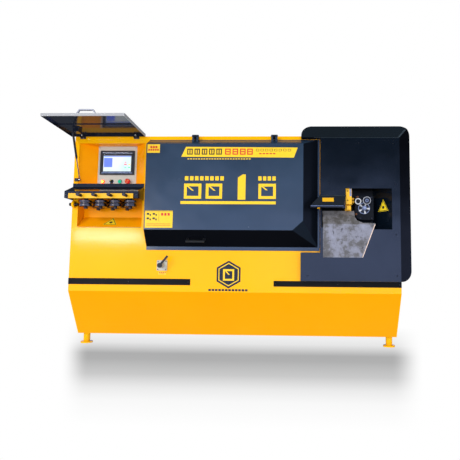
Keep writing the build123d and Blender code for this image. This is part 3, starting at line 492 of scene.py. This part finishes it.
def add_ring(bm, profile, origin, direction):
    """Revolve a closed profile, which leaves a bore through it."""
    rings = revolved(bm, profile, origin, direction, RING_SIDES)
    join_rings(bm, rings, rings[1:] + rings[:1], RING_SIDES)


def pan_screw(radius):
    """Pan head with a socket, standing on its seat."""
    return [
        (radius, 0), (radius, radius * 0.25), (radius * 0.9, radius * 0.45), (radius * 0.65, radius * 0.6),
        (radius * 0.45, radius * 0.62), (radius * 0.42, radius * 0.3), (0.05, radius * 0.3),
    ]


def hex_screw(radius):
    return [(radius, 0), (radius, radius * 0.62), (radius * 0.86, radius * 0.72), (0.05, radius * 0.72)]


def at(x, y, z):
    return Vector((x * MM, y * MM, z * MM))


FRONT_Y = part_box("front_panel")[0][1]
HOOD_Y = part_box("hood")[0][1]
FORWARD = Vector((0, -1, 0))

# Thicknesses in metres: a printed film, ink on it, the badge's plate and a patch on metal.
FILM = 0.0004
INK = 0.0002
BADGE = 0.0005
PATCH = 0.0003


# ---------------------------------------------------------------- hood graphics
def frame_shape(x0, x1, z0, z1, bar):
    """Four bars round a rectangle, meeting without overlap."""
    upright = (z0 + bar, z1 - bar)
    level = [rect(x0, x1, z0, z0 + bar), rect(x0, x1, z1 - bar, z1)]
    return level + [rect(x0, x0 + bar, *upright), rect(x1 - bar, x1, *upright)]


def hooked(x0, x1, z0, z1, bar, hook):
    """A closed bar shape with a hook inside its upper left corner."""
    left, top = x0 + bar, z1 - bar
    tip = [(left, top), (x0 + bar * 1.7, top)]
    tip += [(x0 + hook, z1 - hook + bar), (x0 + hook - bar * 0.7, z1 - hook + bar)]
    return frame_shape(x0, x1, z0, z1, bar) + [tip]


def hood_title():
    """A slanted yellow band with rows of blank frames, bars and dashes."""
    top_left, top_right, low_right, low_left = (-362, 1506), (478, 1500), (450, 1424), (-396, 1430)
    band = front_shape([low_left, low_right, top_right, top_left], HOOD_Y)
    slabs("hood_band", "hood", [band], FILM, FILM_YELLOW)
    low, high, wide = 1446, 1492, 42
    black, red, small = [], [], []
    for x in (-352, -297, -242, -187, -132):
        black += frame_shape(x, x + wide, low, high, 8) + [rect(x + 17, x + 25, low + 9, high - 9)]
    for x in (-66, -10, 46, 100):
        red += frame_shape(x, x + wide, low, high, 8) + [rect(x + 9, x + 33, low + 19, high - 19)]
    for step in range(8):
        x = 166 + step * 34
        small += frame_shape(x, x + 24, 1472, 1490, 3)
    slabs("hood_band_bars", "hood", front_shapes(black + small, HOOD_Y - FILM), INK, BLACK_INK_AND_SHADE)
    red += dashes(190, 26, 5, 18, 1449, 1458)
    slabs("hood_band_dashes", "hood", front_shapes(red, HOOD_Y - FILM), INK, INK_RED)


def hood_pictograms():
    """Bent bar shapes on a base line, with rows of dashes above them and under the band."""
    low, high, bar = 1112, 1226, 21
    shapes = []
    for x0, x1, hook in ((-368, -238, 74), (-205, -82, 74), (188, 318, 70)):
        shapes += hooked(x0, x1, low, high, bar, hook)
    shapes.append([(34, 1106), (92, 1106), (92, 1296), (70, 1296), (34, 1272)])
    shapes.append(rect(-392, 318, 1072, 1094))
    shapes += dashes(-364, 38, 8, 27, 1250, 1282)
    shapes += dashes(186, 35, 4, 25, 1250, 1282)
    shapes += dashes(-348, 20, 24, 14, 1410, 1417)
    slabs("hood_pictograms", "hood", front_shapes(shapes, HOOD_Y), FILM, FILM_YELLOW)


def hood_notices():
    """A small and a large yellow notice with blank marks."""
    ink_y = HOOD_Y - FILM
    small = front_shape(rect(-655, -560, 1460, 1526), HOOD_Y)
    slabs("hood_notice_small", "hood", [small], FILM, FILM_YELLOW)
    marks = dashes(-632, 19, 3, 14, 1496, 1512) + dashes(-648, 17, 5, 12, 1476, 1490)
    slabs("hood_notice_small_marks", "hood", front_shapes(marks, ink_y), INK, INK_RED)

    large = front_shape(rect(-655, -447, 894, 1023), HOOD_Y)
    slabs("hood_notice_large", "hood", [large], FILM, FILM_YELLOW)
    figures = []
    for row in range(2):
        for column in range(2):
            x, z = -642 + column * 44, 982 - row * 34
            figures += [rect(x, x + 18, z + 8, z + 22), rect(x + 22, x + 32, z, z + 14)]
    figures += [rect(-655, -447, 1017, 1021), rect(-552, -550, 940, 1014)]
    slabs("hood_notice_large_marks", "hood", front_shapes(figures, ink_y), INK, BLACK_INK_AND_SHADE)
    lines = [rect(-642, -462, 921 - row * 11, 924 - row * 11) for row in range(2)]
    lines += dashes(-534, 24, 3, 16, 984, 1004)
    slabs("hood_notice_large_lines", "hood", front_shapes(lines, ink_y), INK, INK_RED)


def cabinet_badge():
    """A plain hexagon badge with a bent-bar shape, and a row of dashes below it."""
    cx, cz = -34, 552
    y = FRONT_Y
    slabs("badge_field", "cabinet", [front_shape(tall_hexagon(cx, cz, 104), y)], BADGE, INK_NAVY)
    y -= BADGE
    slabs("badge_ring", "cabinet", [front_shape(tall_hexagon(cx, cz, 88), y)], INK, FILM_YELLOW)
    y -= INK
    slabs("badge_core", "cabinet", [front_shape(tall_hexagon(cx, cz, 80), y)], INK, INK_NAVY)
    y -= INK
    bars = frame_shape(cx - 42, cx + 42, cz - 46, cz + 40, 14)
    bars.append([(cx - 28, cz + 26), (cx - 16, cz + 26), (cx + 10, cz - 2), (cx - 2, cz - 2)])
    slabs("badge_bar", "cabinet", front_shapes(bars, y), INK, FILM_YELLOW)
    row = dashes(-184, 25, 12, 19, 428, 444)
    slabs("badge_dashes", "cabinet", front_shapes(row, FRONT_Y), FILM, INK_NAVY)


# ---------------------------------------------------------------- plain warning triangles
def triangle_sign(name, body, centre, across, up, size):
    """A plain yellow triangle with a dark border, lying in the plane of two directions."""
    across, up = across.normalized(), up.normalized()
    lift = across.cross(up).normalized()
    ink_height = 0.0006

    def around(count, start, scale, height):
        """Corners on a circle about the centre, raised off the surface."""
        angles = [start + 2 * math.pi * i / count for i in range(count)]
        return [centre + (across * math.cos(a) + up * math.sin(a)) * size * scale + lift * height
                for a in angles]

    top = math.radians(90)
    slabs(name, body, [around(3, top, 1.0, 0.0002)], FILM, FILM_SIGN)
    outer, inner = around(3, top, 0.9, ink_height), around(3, top, 0.76, ink_height)
    rim = [[outer[i], outer[j], inner[j], inner[i]] for i, j in ((0, 1), (1, 2), (2, 0))]
    slabs(name + "_rim", body, rim, INK, BLACK_INK_AND_SHADE)
    slabs(name + "_dot", body, [around(8, 0, 0.2, ink_height)], INK, BLACK_INK_AND_SHADE)


def signs():
    """One sign on the roller bay's sloping floor and one on the recess's right wall."""
    low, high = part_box("roller_bay")
    floor_low = Vector((0, low[1], 0.905))
    floor_high = Vector((0, high[1] - 0.004, 0.990))
    slope = (floor_high - floor_low).normalized()
    centre = Vector((-0.965, 0, 0)) + floor_low + slope * 0.062
    triangle_sign("bay_sign", "cabinet", centre, X, slope, 0.064)
    front, back = Vector((1.175, -0.626, 0)), Vector((1.060, -0.466, 0))
    run = back - front
    centre = front + run * 0.44 + Vector((0, 0, 1.066))
    triangle_sign("recess_sign", "cabinet", centre, -run, Z, 0.060)


# ---------------------------------------------------------------- controls
def operator_panel():
    """Blocks on the lit screen, then the bezel's strips and the screws and borders round it."""
    low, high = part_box("hmi_screen")
    y = low[1]
    x0, x1, z0, z1 = front_extent(low, high)
    w, h = x1 - x0, z1 - z0

    def part(left, right, bottom, top):
        """A rectangle in fractions of the screen."""
        return rect(x0 + w * left, x0 + w * right, z0 + h * bottom, z0 + h * top)

    block = rect(x0 + 4, x0 + w * 0.32, z0 + h * 0.27, z0 + h * 0.86)
    slabs("screen_block", "cabinet", [front_shape(block, y)], INK, INK_BLUE)
    red = [part(0.75, 0.84, 0.42, 0.48), part(0.77, 0.82, 0.56, 0.60)]
    slabs("screen_red_bars", "cabinet", front_shapes(red, y), INK, SCREEN_RED)
    green = [part(0.90, 0.97, 0.22, 0.28), part(0.76, 0.83, 0.22, 0.26)]
    slabs("screen_green_bars", "cabinet", front_shapes(green, y), INK, SCREEN_GREEN)
    amber = part(0.90, 0.97, 0.42, 0.47)
    slabs("screen_amber_bar", "cabinet", [front_shape(amber, y)], INK, SCREEN_AMBER)
    header = rect(x0 + 2, x1 - 2, z1 - 8, z1 - 2)
    slabs("screen_header", "cabinet", [front_shape(header, y)], INK, INK_BLUE)

    low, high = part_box("hmi_bezel")
    y = low[1]
    x0, x1, z0, z1 = front_extent(low, high)
    strips = [
        [(x0 + 12, z1 - 12), (x0 + 24, z1 - 26), (x1 - 24, z1 - 26), (x1 - 12, z1 - 12)],
        [(x0 + 12, z0 + 12), (x1 - 12, z0 + 12), (x1 - 24, z0 + 27), (x0 + 24, z0 + 27)],
    ]
    slabs("bezel_strips", "cabinet", front_shapes(strips, y), 0.0006, SILVER_FILM)
    places = screw_corners(x0 + 7, x1 - 7, z0 + 7, z1 - 7, y)
    turned("bezel_screws", "cabinet", pan_screw(3.2), places, DARK_STEEL)

    low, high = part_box("control_plate")
    y = low[1]
    x0, x1, z0, z1 = front_extent(low, high)
    places = screw_corners(x0 + 12, x1 - 12, z0 + 16, z1 - 14, y)
    turned("plate_screws", "cabinet", pan_screw(4.5), places, MACHINED_STEEL)
    edges = [rect(x0 + 4, x0 + 9, z0 + 5, z1 - 5), rect(x1 - 9, x1 - 4, z0 + 5, z1 - 5)]
    slabs("plate_borders", "cabinet", front_shapes(edges, y), 0.0015, MATERIALS["light_grey"])


def screw_corners(x0, x1, z0, z1, y):
    """The places of four screws that face the operator."""
    corners = [(x0, z0), (x1, z0), (x0, z1), (x1, z1)]
    return [(Vector((a * MM, y, b * MM)), FORWARD) for a, b in corners]


# The clearance in millimetres between a button and the ring round it.
BUTTON_GAP = 0.7


def push_button_trim():
    """Chrome rings round two buttons, the lamp's core, and the marks on the stop and the selector."""
    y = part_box("control_plate")[0][1]
    bm = bmesh.new()
    for node in ("selector_knob", "start_button"):
        low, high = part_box(node)
        cx, cz = front_centre(low, high)
        bore = (high[0] - low[0]) / 2 / MM + BUTTON_GAP
        wall = ((3.4, 0), (3.4, 1.2), (2.6, 2.2), (0.8, 2.6), (0, 2.0), (0, 0.2))
        add_ring(bm, [(bore + out, height) for out, height in wall], Vector((cx, y, cz)), FORWARD)
    mesh = mesh_from(bm, "button_rings")
    finish_piece("button_rings", "cabinet", mesh, MATERIALS["chrome_trim"], 35)

    low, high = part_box("power_lamp")
    cx, cz = front_centre(low, high)
    dome = [(9, 0), (8.6, 1.2), (7, 2.2), (4, 2.8), (0.05, 3.0)]
    turned("lamp_core", "cabinet", dome, [(Vector((cx, low[1], cz)), FORWARD)], LAMP_CORE)

    low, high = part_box("estop_button")
    cx, cz = front_centre(low, high)
    arrows = []
    for i in range(3):
        a = 2 * math.pi * i / 3
        arc = [(8, a), (8, a + 0.5), (8, a + 1.0), (11, a + 1.0), (11, a + 0.5), (11, a)]
        arrows.append([(cx / MM + r * math.cos(t), cz / MM + r * math.sin(t)) for r, t in arc])
    slabs("estop_arrows", "estop_button", front_shapes(arrows, low[1]), PATCH, FILM_PALE)

    low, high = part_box("selector_knob")
    cx, cz = front_centre(low, high)
    mark = rect(cx / MM - 1, cx / MM + 1, cz / MM + 2, cz / MM + 12)
    slabs("selector_mark", "selector_knob", [front_shape(mark, low[1])], PATCH, FILM_PALE)


# ---------------------------------------------------------------- head panel, cutter and bending unit
# The head panel in millimetres: its face, and where its top and right bevels start and how far they run.
PANEL_FACE_Y = -630
BEVEL_X, BEVEL_ACROSS = 1235, 90
BEVEL_Z, BEVEL_UP = 1580, 108
BEVEL_BACK = 60


def bevel_point(x, z, lift=0.0):
    """A point on the head panel's top or right bevel, lifted off it in millimetres."""
    run = max((x - BEVEL_X) / BEVEL_ACROSS, (z - BEVEL_Z) / BEVEL_UP, 0)
    return at(x, PANEL_FACE_Y + BEVEL_BACK * run - lift, z)


def head_panel_details():
    """Screws on the panel, painted highlights along its folds and the seal in the notch beside it."""
    spots = [(654, 1548), (933, 1541), (1188, 1534), (712, 1236)]
    spots += [(1201, 1229), (1202, 854), (554, 549), (1207, 553)]
    places = [(at(x, PANEL_FACE_Y, z), FORWARD) for x, z in spots]
    places.append((bevel_point(925, 1646), Vector((0, -BEVEL_UP, BEVEL_BACK)).normalized()))
    turned("panel_screws", "cabinet", pan_screw(4.5), places, DARK_STEEL)
    # Painted highlights along the head panel's top fold and its corner.
    fold = [(600, 1580), (1231, 1580), (1231, 1583), (600, 1582)]
    corner = [(1237, 1584), (1296, 1655), (1280, 1655), (1224, 1584)]
    painted_highlights = [facing([bevel_point(x, z, 0.2) for x, z in outline]) for outline in (fold, corner)]
    slabs("panel_fold_painted_highlights", "cabinet", painted_highlights, PATCH, PAINTED_EDGE_HIGHLIGHT)
    seal = front_shape(rect(638.5, 647.5, 756, 1044), FRONT_Y)
    slabs("notch_seal", "cabinet", [seal], 0.0006, BLACK_INK_AND_SHADE)


def arc_patch(cx, cz, y, inner, outer, start, sweep, steps=4):
    """Flat patches that follow an arc about a point, in degrees."""
    patches = []
    for i in range(steps):
        a, b = (math.radians(start + sweep * k / steps) for k in (i, i + 1))
        ring = [(inner, a), (inner, b), (outer, b), (outer, a)]
        points = [(cx + radius * math.cos(t), cz + radius * math.sin(t)) for radius, t in ring]
        patches.append(front_shape(points, y * MM))
    return patches


# Centres of the bending unit's turning parts, and the planes of its faces, in millimetres.
SPINDLE = (977, 1055)
BEND_ROLLER = (995, 1110)
BACKING_ROLLER = (930, 1104)
SPINDLE_Y, ROLLER_Y, CORE_PIN_Y, SOCKET_Y, HOUSING_Y = -580, -605, -606, -609, -572


def bending_details():
    """Painted shade for each recess of the spindle, its lands, faces of the rollers with painted shade in the
    backing roller's groove and the rollers' sockets, fittings and bolts of the housing.
    """
    # Painted shade: flat black patches stand for each recess of the spindle.
    recess_shade, lands = [], []
    for i in range(5):
        recess_shade += arc_patch(*SPINDLE, SPINDLE_Y, 17, 38, 72 * i + 8, 46)
        lands += arc_patch(*SPINDLE, SPINDLE_Y, 18, 42, 72 * i + 57, 20, 2)
    slabs("spindle_recess_shade", "bend_spindle", recess_shade, PATCH, BLACK_INK_AND_SHADE)
    slabs("spindle_lands", "bend_spindle", lands, PATCH, PALE_STEEL)
    hexagon = front_shape(flat_hexagon(*SPINDLE, 10), CORE_PIN_Y * MM)
    slabs("core_pin_hex", "bend_spindle", [hexagon], 0.002, GROUND_EDGE)

    faces = (
        ("bend_roller", "face", BEND_ROLLER, 13.5, 26, 20, BLACK_INK_AND_SHADE),
        ("bend_roller", "rim", BEND_ROLLER, 26.5, 29, 24, PALE_STEEL),
        # Painted shade: a flat black ring stands for the backing roller's groove.
        ("backing_roller", "groove", BACKING_ROLLER, 13.5, 16, 18, BLACK_INK_AND_SHADE),
        ("backing_roller", "rim", BACKING_ROLLER, 17, 23.5, 20, PALE_STEEL),
    )
    for body, part, centre, inner, outer, steps, mat in faces:
        patches = arc_patch(*centre, ROLLER_Y, inner, outer, 0, 360, steps)
        slabs(f"{body}_{part}", body, patches, PATCH, mat)
    for body, centre in (("bend_roller", BEND_ROLLER), ("backing_roller", BACKING_ROLLER)):
        # Painted shade: a flat black hexagon stands for each roller's socket.
        socket = front_shape(flat_hexagon(*centre, 6), SOCKET_Y * MM)
        slabs(body + "_socket", body, [socket], PATCH, BLACK_INK_AND_SHADE)

    hose = [(8, 0), (8, 30), (11, 31), (11, 40), (7, 42), (7, 90), (0.05, 90)]
    places = [(at(897, -480, z), FORWARD) for z in (1128, 1104)]
    turned("brass_fitting", "cabinet", hose, places, MATERIALS["tool_yellow"])
    cap = [(9, 0), (9, 5), (6, 7), (6, 12), (0.05, 12)]
    places = [(at(x, HOUSING_Y, z), FORWARD) for x, z in ((930, 1141), (918, 1010))]
    turned("copper_caps", "cabinet", cap, places, COPPER)
    places = [(at(x, HOUSING_Y, z), FORWARD) for x, z in ((1034, 1138), (1034, 980), (950, 980))]
    turned("housing_bolts", "cabinet", hex_screw(7), places, DARK_STEEL, sides=6, smooth=None)


# The ledge guard's slope in millimetres: its front lower edge, and the rise for each millimetre back.
LEDGE_Y, LEDGE_Z, LEDGE_RISE = -690, 1060, 85 / 59.5


def cutter_details():
    """The ram's polished strip and screws, painted highlights along the ledge guard's edges, and a worn
    bright edge on the deflector plate.
    """
    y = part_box("cutter_ram")[0][1]
    strip = front_shape(rect(866, 880, 1140, 1200), y)
    slabs("ram_polished_strip", "cutter_ram", [strip], 0.0006, GROUND_EDGE)
    places = [(Vector((0.852, y, z)), FORWARD) for z in (1.110, 1.180)]
    turned("ram_screws", "cutter_ram", pan_screw(4.5), places, DARK_STEEL)

    def slope(x, y_mm, drop=0.0):
        return at(x, y_mm, LEDGE_Z + (y_mm - LEDGE_Y) * LEDGE_RISE - drop)

    block = [slope(x, y_mm, 5) for x, y_mm in rect(661.5, 745.5, -667.5, -642.5)]
    slabs("slot_block", "hood", [facing(block)], 0.001, MATERIALS["tool_yellow"])
    low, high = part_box("deflector_plate")
    right, bottom = high[0] / MM, low[2] / MM + 1
    edge = [(right - 0.5, 928), (958, bottom), (953, bottom), (right - 6, 928)]
    slabs("deflector_edge", "cabinet", [front_shape(edge, low[1])], PATCH, EDGE_BRIGHT)
    # Painted highlights along the ledge guard's front lip and its rear edge.
    lip = front_shape(rect(577, 812, 1055, 1059.5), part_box("ledge_guard")[0][1])
    rear = [slope(652, -634.5), slope(834, -634.5), slope(835, -631.5), slope(652, -631.5)]
    slabs("ledge_painted_highlights", "hood", [lip, facing(rear)], PATCH, PAINTED_EDGE_HIGHLIGHT)


def small_hardware():
    """The isolator's screws and tag, the lid hinges' fillers, a painted shadow line along the bay's sill,
    trim and guard screws.
    """
    corners = [(at(-538 + a, -578, 616 + b), FORWARD) for a in (-30, 30) for b in (-30, 30)]
    turned("isolator_screws", "cabinet", pan_screw(4), corners, DARK_STEEL)
    tag, tag_depth = front_shape(rect(-566, -508, 546, 572), FRONT_Y), 0.0005
    slabs("isolator_tag", "cabinet", [tag], tag_depth, FILM_YELLOW)
    marks = dashes(-560, 14, 4, 9, 560, 567) + [rect(-558, -516, 551, 554)]
    slabs("isolator_tag_marks", "cabinet", front_shapes(marks, FRONT_Y - tag_depth), INK, INK_RED)
    fillers = [rect(x - 8.8, x + 8.8, 1613.2, 1623.5) for x in (-1190, -770)]
    slabs("lid_hinge_fillers", "cabinet", front_shapes(fillers, -0.573), 0.005, DARK_STEEL)
    # Painted shadow: a thin black line along the roller bay's lower lip.
    sill = front_shape(rect(-1196, -712, 900.5, 903.5), FRONT_Y)
    slabs("bay_sill_painted_shadow", "cabinet", [sill], PATCH, BLACK_INK_AND_SHADE)
    strip = [(at(x, -574, 493), FORWARD) for x in (-1236, -790, -336)]
    strip += [(at(x, -574, 487), FORWARD) for x in (318, 780, 1236)]
    turned("trim_screws", "cabinet", pan_screw(4), strip, DARK_STEEL)
    guard_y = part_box("shelf_guard")[0][1] / MM
    guard = [(at(x, guard_y, 1131), FORWARD) for x in (-1238, -712)]
    turned("guard_screws", "cabinet", pan_screw(4), guard, MACHINED_STEEL)


def rear_and_side_details():
    """Screws on the sides and the rear door, its lock, the rating plate, and the fittings behind the hood."""
    back = Vector((0, 1, 0))
    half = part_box("side_panels")[1][0]
    sides = [(Vector((sign * half, y * MM, z * MM)), Vector((sign, 0, 0)))
             for sign in (-1, 1) for y in (-500, -60, 330) for z in (500, 1000, 1560)]
    turned("side_screws", "cabinet", pan_screw(6), sides, DARK_STEEL)
    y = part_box("rear_panel")[1][1]
    screws = [(Vector((x * MM, y + 0.0045, z * MM)), back) for x in (-480, 0, 480) for z in (310, 1290)]
    turned("door_screws", "rear_door", pan_screw(5), screws, DARK_STEEL)
    lock = [(11, 0), (11, 3), (9.5, 4), (0.05, 4)]
    place = at(450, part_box("rear_door")[1][1] / MM - 0.5, 800)
    turned("door_lock", "rear_door", lock, [(place, back)], MATERIALS["chrome_trim"])
    corners = ((-700, 1150), (-820, 1150), (-820, 1230), (-700, 1230))
    plate = [Vector((x * MM, y, z * MM)) for x, z in corners]
    slabs("rating_plate", "cabinet", [plate], 0.0006, SILVER_FILM)

    bm = bmesh.new()
    for start, length in ((-560, 250), (20, 400)):
        add_ring(bm, [(8, 0), (13, 0), (13, length), (8, length)], at(start, -585, 1075), X)
    finish_piece("wire_guides", "cabinet", mesh_from(bm, "wire_guides"), DARK_STEEL, 35)
    saddles = [rect(x, x + 26, 1052, 1098) for x in (-540, -350, 50, 370)]
    slabs("guide_saddles", "cabinet", front_shapes(saddles, -0.566), 0.007, MACHINED_STEEL)
    spots = ((-560, 880), (430, 880), (-560, 1470), (430, 1470), (200, 1330), (200, 960))
    places = [(at(x, -566, z), FORWARD) for x, z in spots]
    turned("feed_plate_bolts", "cabinet", hex_screw(9), places, MACHINED_STEEL, sides=6, smooth=None)


hood_title()
hood_pictograms()
hood_notices()
cabinet_badge()
signs()
operator_panel()
push_button_trim()
head_panel_details()
bending_details()
cutter_details()
small_hardware()
rear_and_side_details()


# ---------------------------------------------------------------- camera, light and floor
FLOOR_HALF = 9
# The painted shadow on the floor fades along Y between two lines, and its side edges fan out from a point.
SHADOW_FRONT, SHADOW_BACK = -2.2, 1.0
SHADOW_APEX = (0.481, -3.92)
SHADOW_STRENGTH = [
    (SHADOW_FRONT, 0), (-1.87, 0.08), (-1.655, 0.23), (-1.37, 0.56), (-0.95, 0.77),
    (-0.76, 0.785), (-0.5, 0.48), (-0.3, 0.28), (0.0, 0.19), (0.9, 0),
]


def soft_edge(tree, value, low, high, to_low, to_high):
    out = remap(tree, value, low, high, to_low, to_high)
    out.node.interpolation_type = "SMOOTHSTEP"
    return out


def stage_material():
    """A clear floor that carries only a painted soft shadow under and in front of the machine."""
    mat, tree = new_material("floor_painted_shadow")
    out = tree.nodes.new("ShaderNodeOutputMaterial")
    grey = tree.nodes.new("ShaderNodeEmission")
    clear = tree.nodes.new("ShaderNodeBsdfTransparent")
    mix = tree.nodes.new("ShaderNodeMixShader")
    place = tree.nodes.new("ShaderNodeTexCoord").outputs["Object"]
    across, along = axes_of(tree, place)[:2]
    centred = combine(tree, "SUBTRACT", across, SHADOW_APEX[0])
    spread = combine(tree, "DIVIDE", centred, combine(tree, "SUBTRACT", along, SHADOW_APEX[1]))
    left, right = soft_edge(tree, spread, -0.525, -0.462, 0, 1), soft_edge(tree, spread, 0.205, 0.275, 1, 0)
    stops = [((y - SHADOW_FRONT) / (SHADOW_BACK - SHADOW_FRONT), (a, a, a)) for y, a in SHADOW_STRENGTH]
    strength = ramp(tree, remap(tree, along, SHADOW_FRONT, SHADOW_BACK, 0, 1), stops)
    cloud = noise(tree, place, 1.2, 3.0)
    tone = ramp(tree, cloud, [(0.3, (0.255, 0.255, 0.257)), (0.7, (0.275, 0.275, 0.277))])
    tree.links.new(tone, grey.inputs[0])
    # Painted shadow: how strongly the grey covers the clear floor at each place.
    cover = combine(tree, "MULTIPLY", combine(tree, "MULTIPLY", left, right), strength)
    tree.links.new(cover, mix.inputs[0])
    tree.links.new(clear.outputs[0], mix.inputs[1])
    tree.links.new(grey.outputs[0], mix.inputs[2])
    tree.links.new(mix.outputs[0], out.inputs[0])
    return mat


def add_stage():
    bm = bmesh.new()
    corners = rect(-FLOOR_HALF, FLOOR_HALF, -FLOOR_HALF, FLOOR_HALF)
    bm.faces.new([bm.verts.new((x, y, 0)) for x, y in corners])
    mesh = bpy.data.meshes.new("floor")
    bm.to_mesh(mesh)
    bm.free()
    mesh.materials.append(stage_material())
    floor = bpy.data.objects.new("floor", mesh)
    bpy.context.scene.collection.objects.link(floor)
    floor.visible_diffuse = False
    floor.visible_glossy = False
    floor.visible_shadow = False


def add_area(name, place, target, size, power):
    """A rectangular lamp at a place, turned towards a target."""
    light = bpy.data.lights.new(name, "AREA")
    light.shape = "RECTANGLE"
    light.size, light.size_y = size
    light.energy = power
    lamp = bpy.data.objects.new(name, light)
    lamp.location = place
    lamp.rotation_euler = (Vector(target) - Vector(place)).to_track_quat("-Z", "Y").to_euler()
    bpy.context.scene.collection.objects.link(lamp)


def add_sun(name, direction, strength, spread, colour=(1, 1, 1)):
    """A soft sun that doesn't show in reflections; its spread is in degrees."""
    light = bpy.data.lights.new(name, "SUN")
    light.energy = strength
    light.angle = math.radians(spread)
    light.color = colour
    lamp = bpy.data.objects.new(name, light)
    lamp.rotation_euler = Vector(direction).to_track_quat("-Z", "Y").to_euler()
    lamp.visible_glossy = False
    bpy.context.scene.collection.objects.link(lamp)


SOFT_LIGHT = [
    (-1.0, (0.90, 0.90, 0.90)), (-0.1, (0.92, 0.92, 0.92)),
    (0.2, (0.56, 0.57, 0.60)), (1.0, (0.50, 0.51, 0.54)),
]
ROOM = [
    (-1.0, (0.02, 0.022, 0.025)), (-0.16, (0.05, 0.055, 0.06)), (-0.03, (0.44, 0.56, 1.0)),
    (0.09, (0.44, 0.56, 1.0)), (0.16, (0.10, 0.14, 0.26)), (0.24, (0.012, 0.018, 0.03)),
    (0.7, (0.02, 0.025, 0.03)), (1.0, (0.06, 0.08, 0.09)),
]
ROOM_STRENGTH = 1.9


def gradient(tree, lift, stops):
    """A background that changes with the height of the view direction, from -1 to 1."""
    node = tree.nodes.new("ShaderNodeBackground")
    tone = ramp(tree, remap(tree, lift, -1.0, 1.0, 0.0, 1.0), [((z + 1) / 2, colour) for z, colour in stops])
    tree.links.new(tone, node.inputs[0])
    return node


def add_world():
    """White backdrop; soft even light, pale from below; darker room with a cool horizon in reflections."""
    world = bpy.data.worlds.new("studio")
    bpy.context.scene.world = world
    world.use_nodes = True
    tree = world.node_tree
    tree.nodes.clear()
    out = tree.nodes.new("ShaderNodeOutputWorld")
    path = tree.nodes.new("ShaderNodeLightPath")
    place = tree.nodes.new("ShaderNodeTexCoord")
    lift = axes_of(tree, place.outputs["Generated"])[2]
    plain = tree.nodes.new("ShaderNodeBackground")
    plain.inputs[0].default_value = (1, 1, 1, 1)
    soft = gradient(tree, lift, SOFT_LIGHT)
    room = gradient(tree, lift, ROOM)
    room.inputs[1].default_value = ROOM_STRENGTH
    mix = tree.nodes.new("ShaderNodeMixShader")
    tree.links.new(path.outputs["Is Glossy Ray"], mix.inputs[0])
    tree.links.new(soft.outputs[0], mix.inputs[1])
    tree.links.new(room.outputs[0], mix.inputs[2])
    last = tree.nodes.new("ShaderNodeMixShader")
    tree.links.new(path.outputs["Is Camera Ray"], last.inputs[0])
    tree.links.new(mix.outputs[0], last.inputs[1])
    tree.links.new(plain.outputs[0], last.inputs[2])
    tree.links.new(last.outputs[0], out.inputs[0])


CAMERA_PLACE = (0.481, -3.92, 0.59)
CAMERA_PITCH = 5.1
CAMERA_YAW = 1.9
CAMERA_ROLL = 0.5
CAMERA_SHIFT = -0.115


def add_camera():
    data = bpy.data.cameras.new("camera")
    data.lens = 35
    data.sensor_width = 36
    data.shift_x = CAMERA_SHIFT
    camera = bpy.data.objects.new("camera", data)
    camera.location = CAMERA_PLACE
    turn = Matrix.Rotation(math.radians(CAMERA_YAW), 4, "Z")
    turn @= Matrix.Rotation(math.radians(90 + CAMERA_PITCH), 4, "X")
    turn @= Matrix.Rotation(math.radians(CAMERA_ROLL), 4, "Z")
    camera.rotation_euler = turn.to_euler()
    bpy.context.scene.collection.objects.link(camera)
    bpy.context.scene.camera = camera


add_camera()
add_stage()
add_world()
add_sun("key_sun", (0.45, 0.80, -0.42), 0.95, 12, (1.0, 0.98, 0.95))
add_sun("front_sun", (-0.12, 1.0, 0.0), 1.0, 25)
add_area("glare_low", (-2.5, -4.2, 1.10), (-0.95, -0.57, 0.84), (1.0, 0.14), 17)
bpy.context.scene.view_settings.view_transform = "Standard"
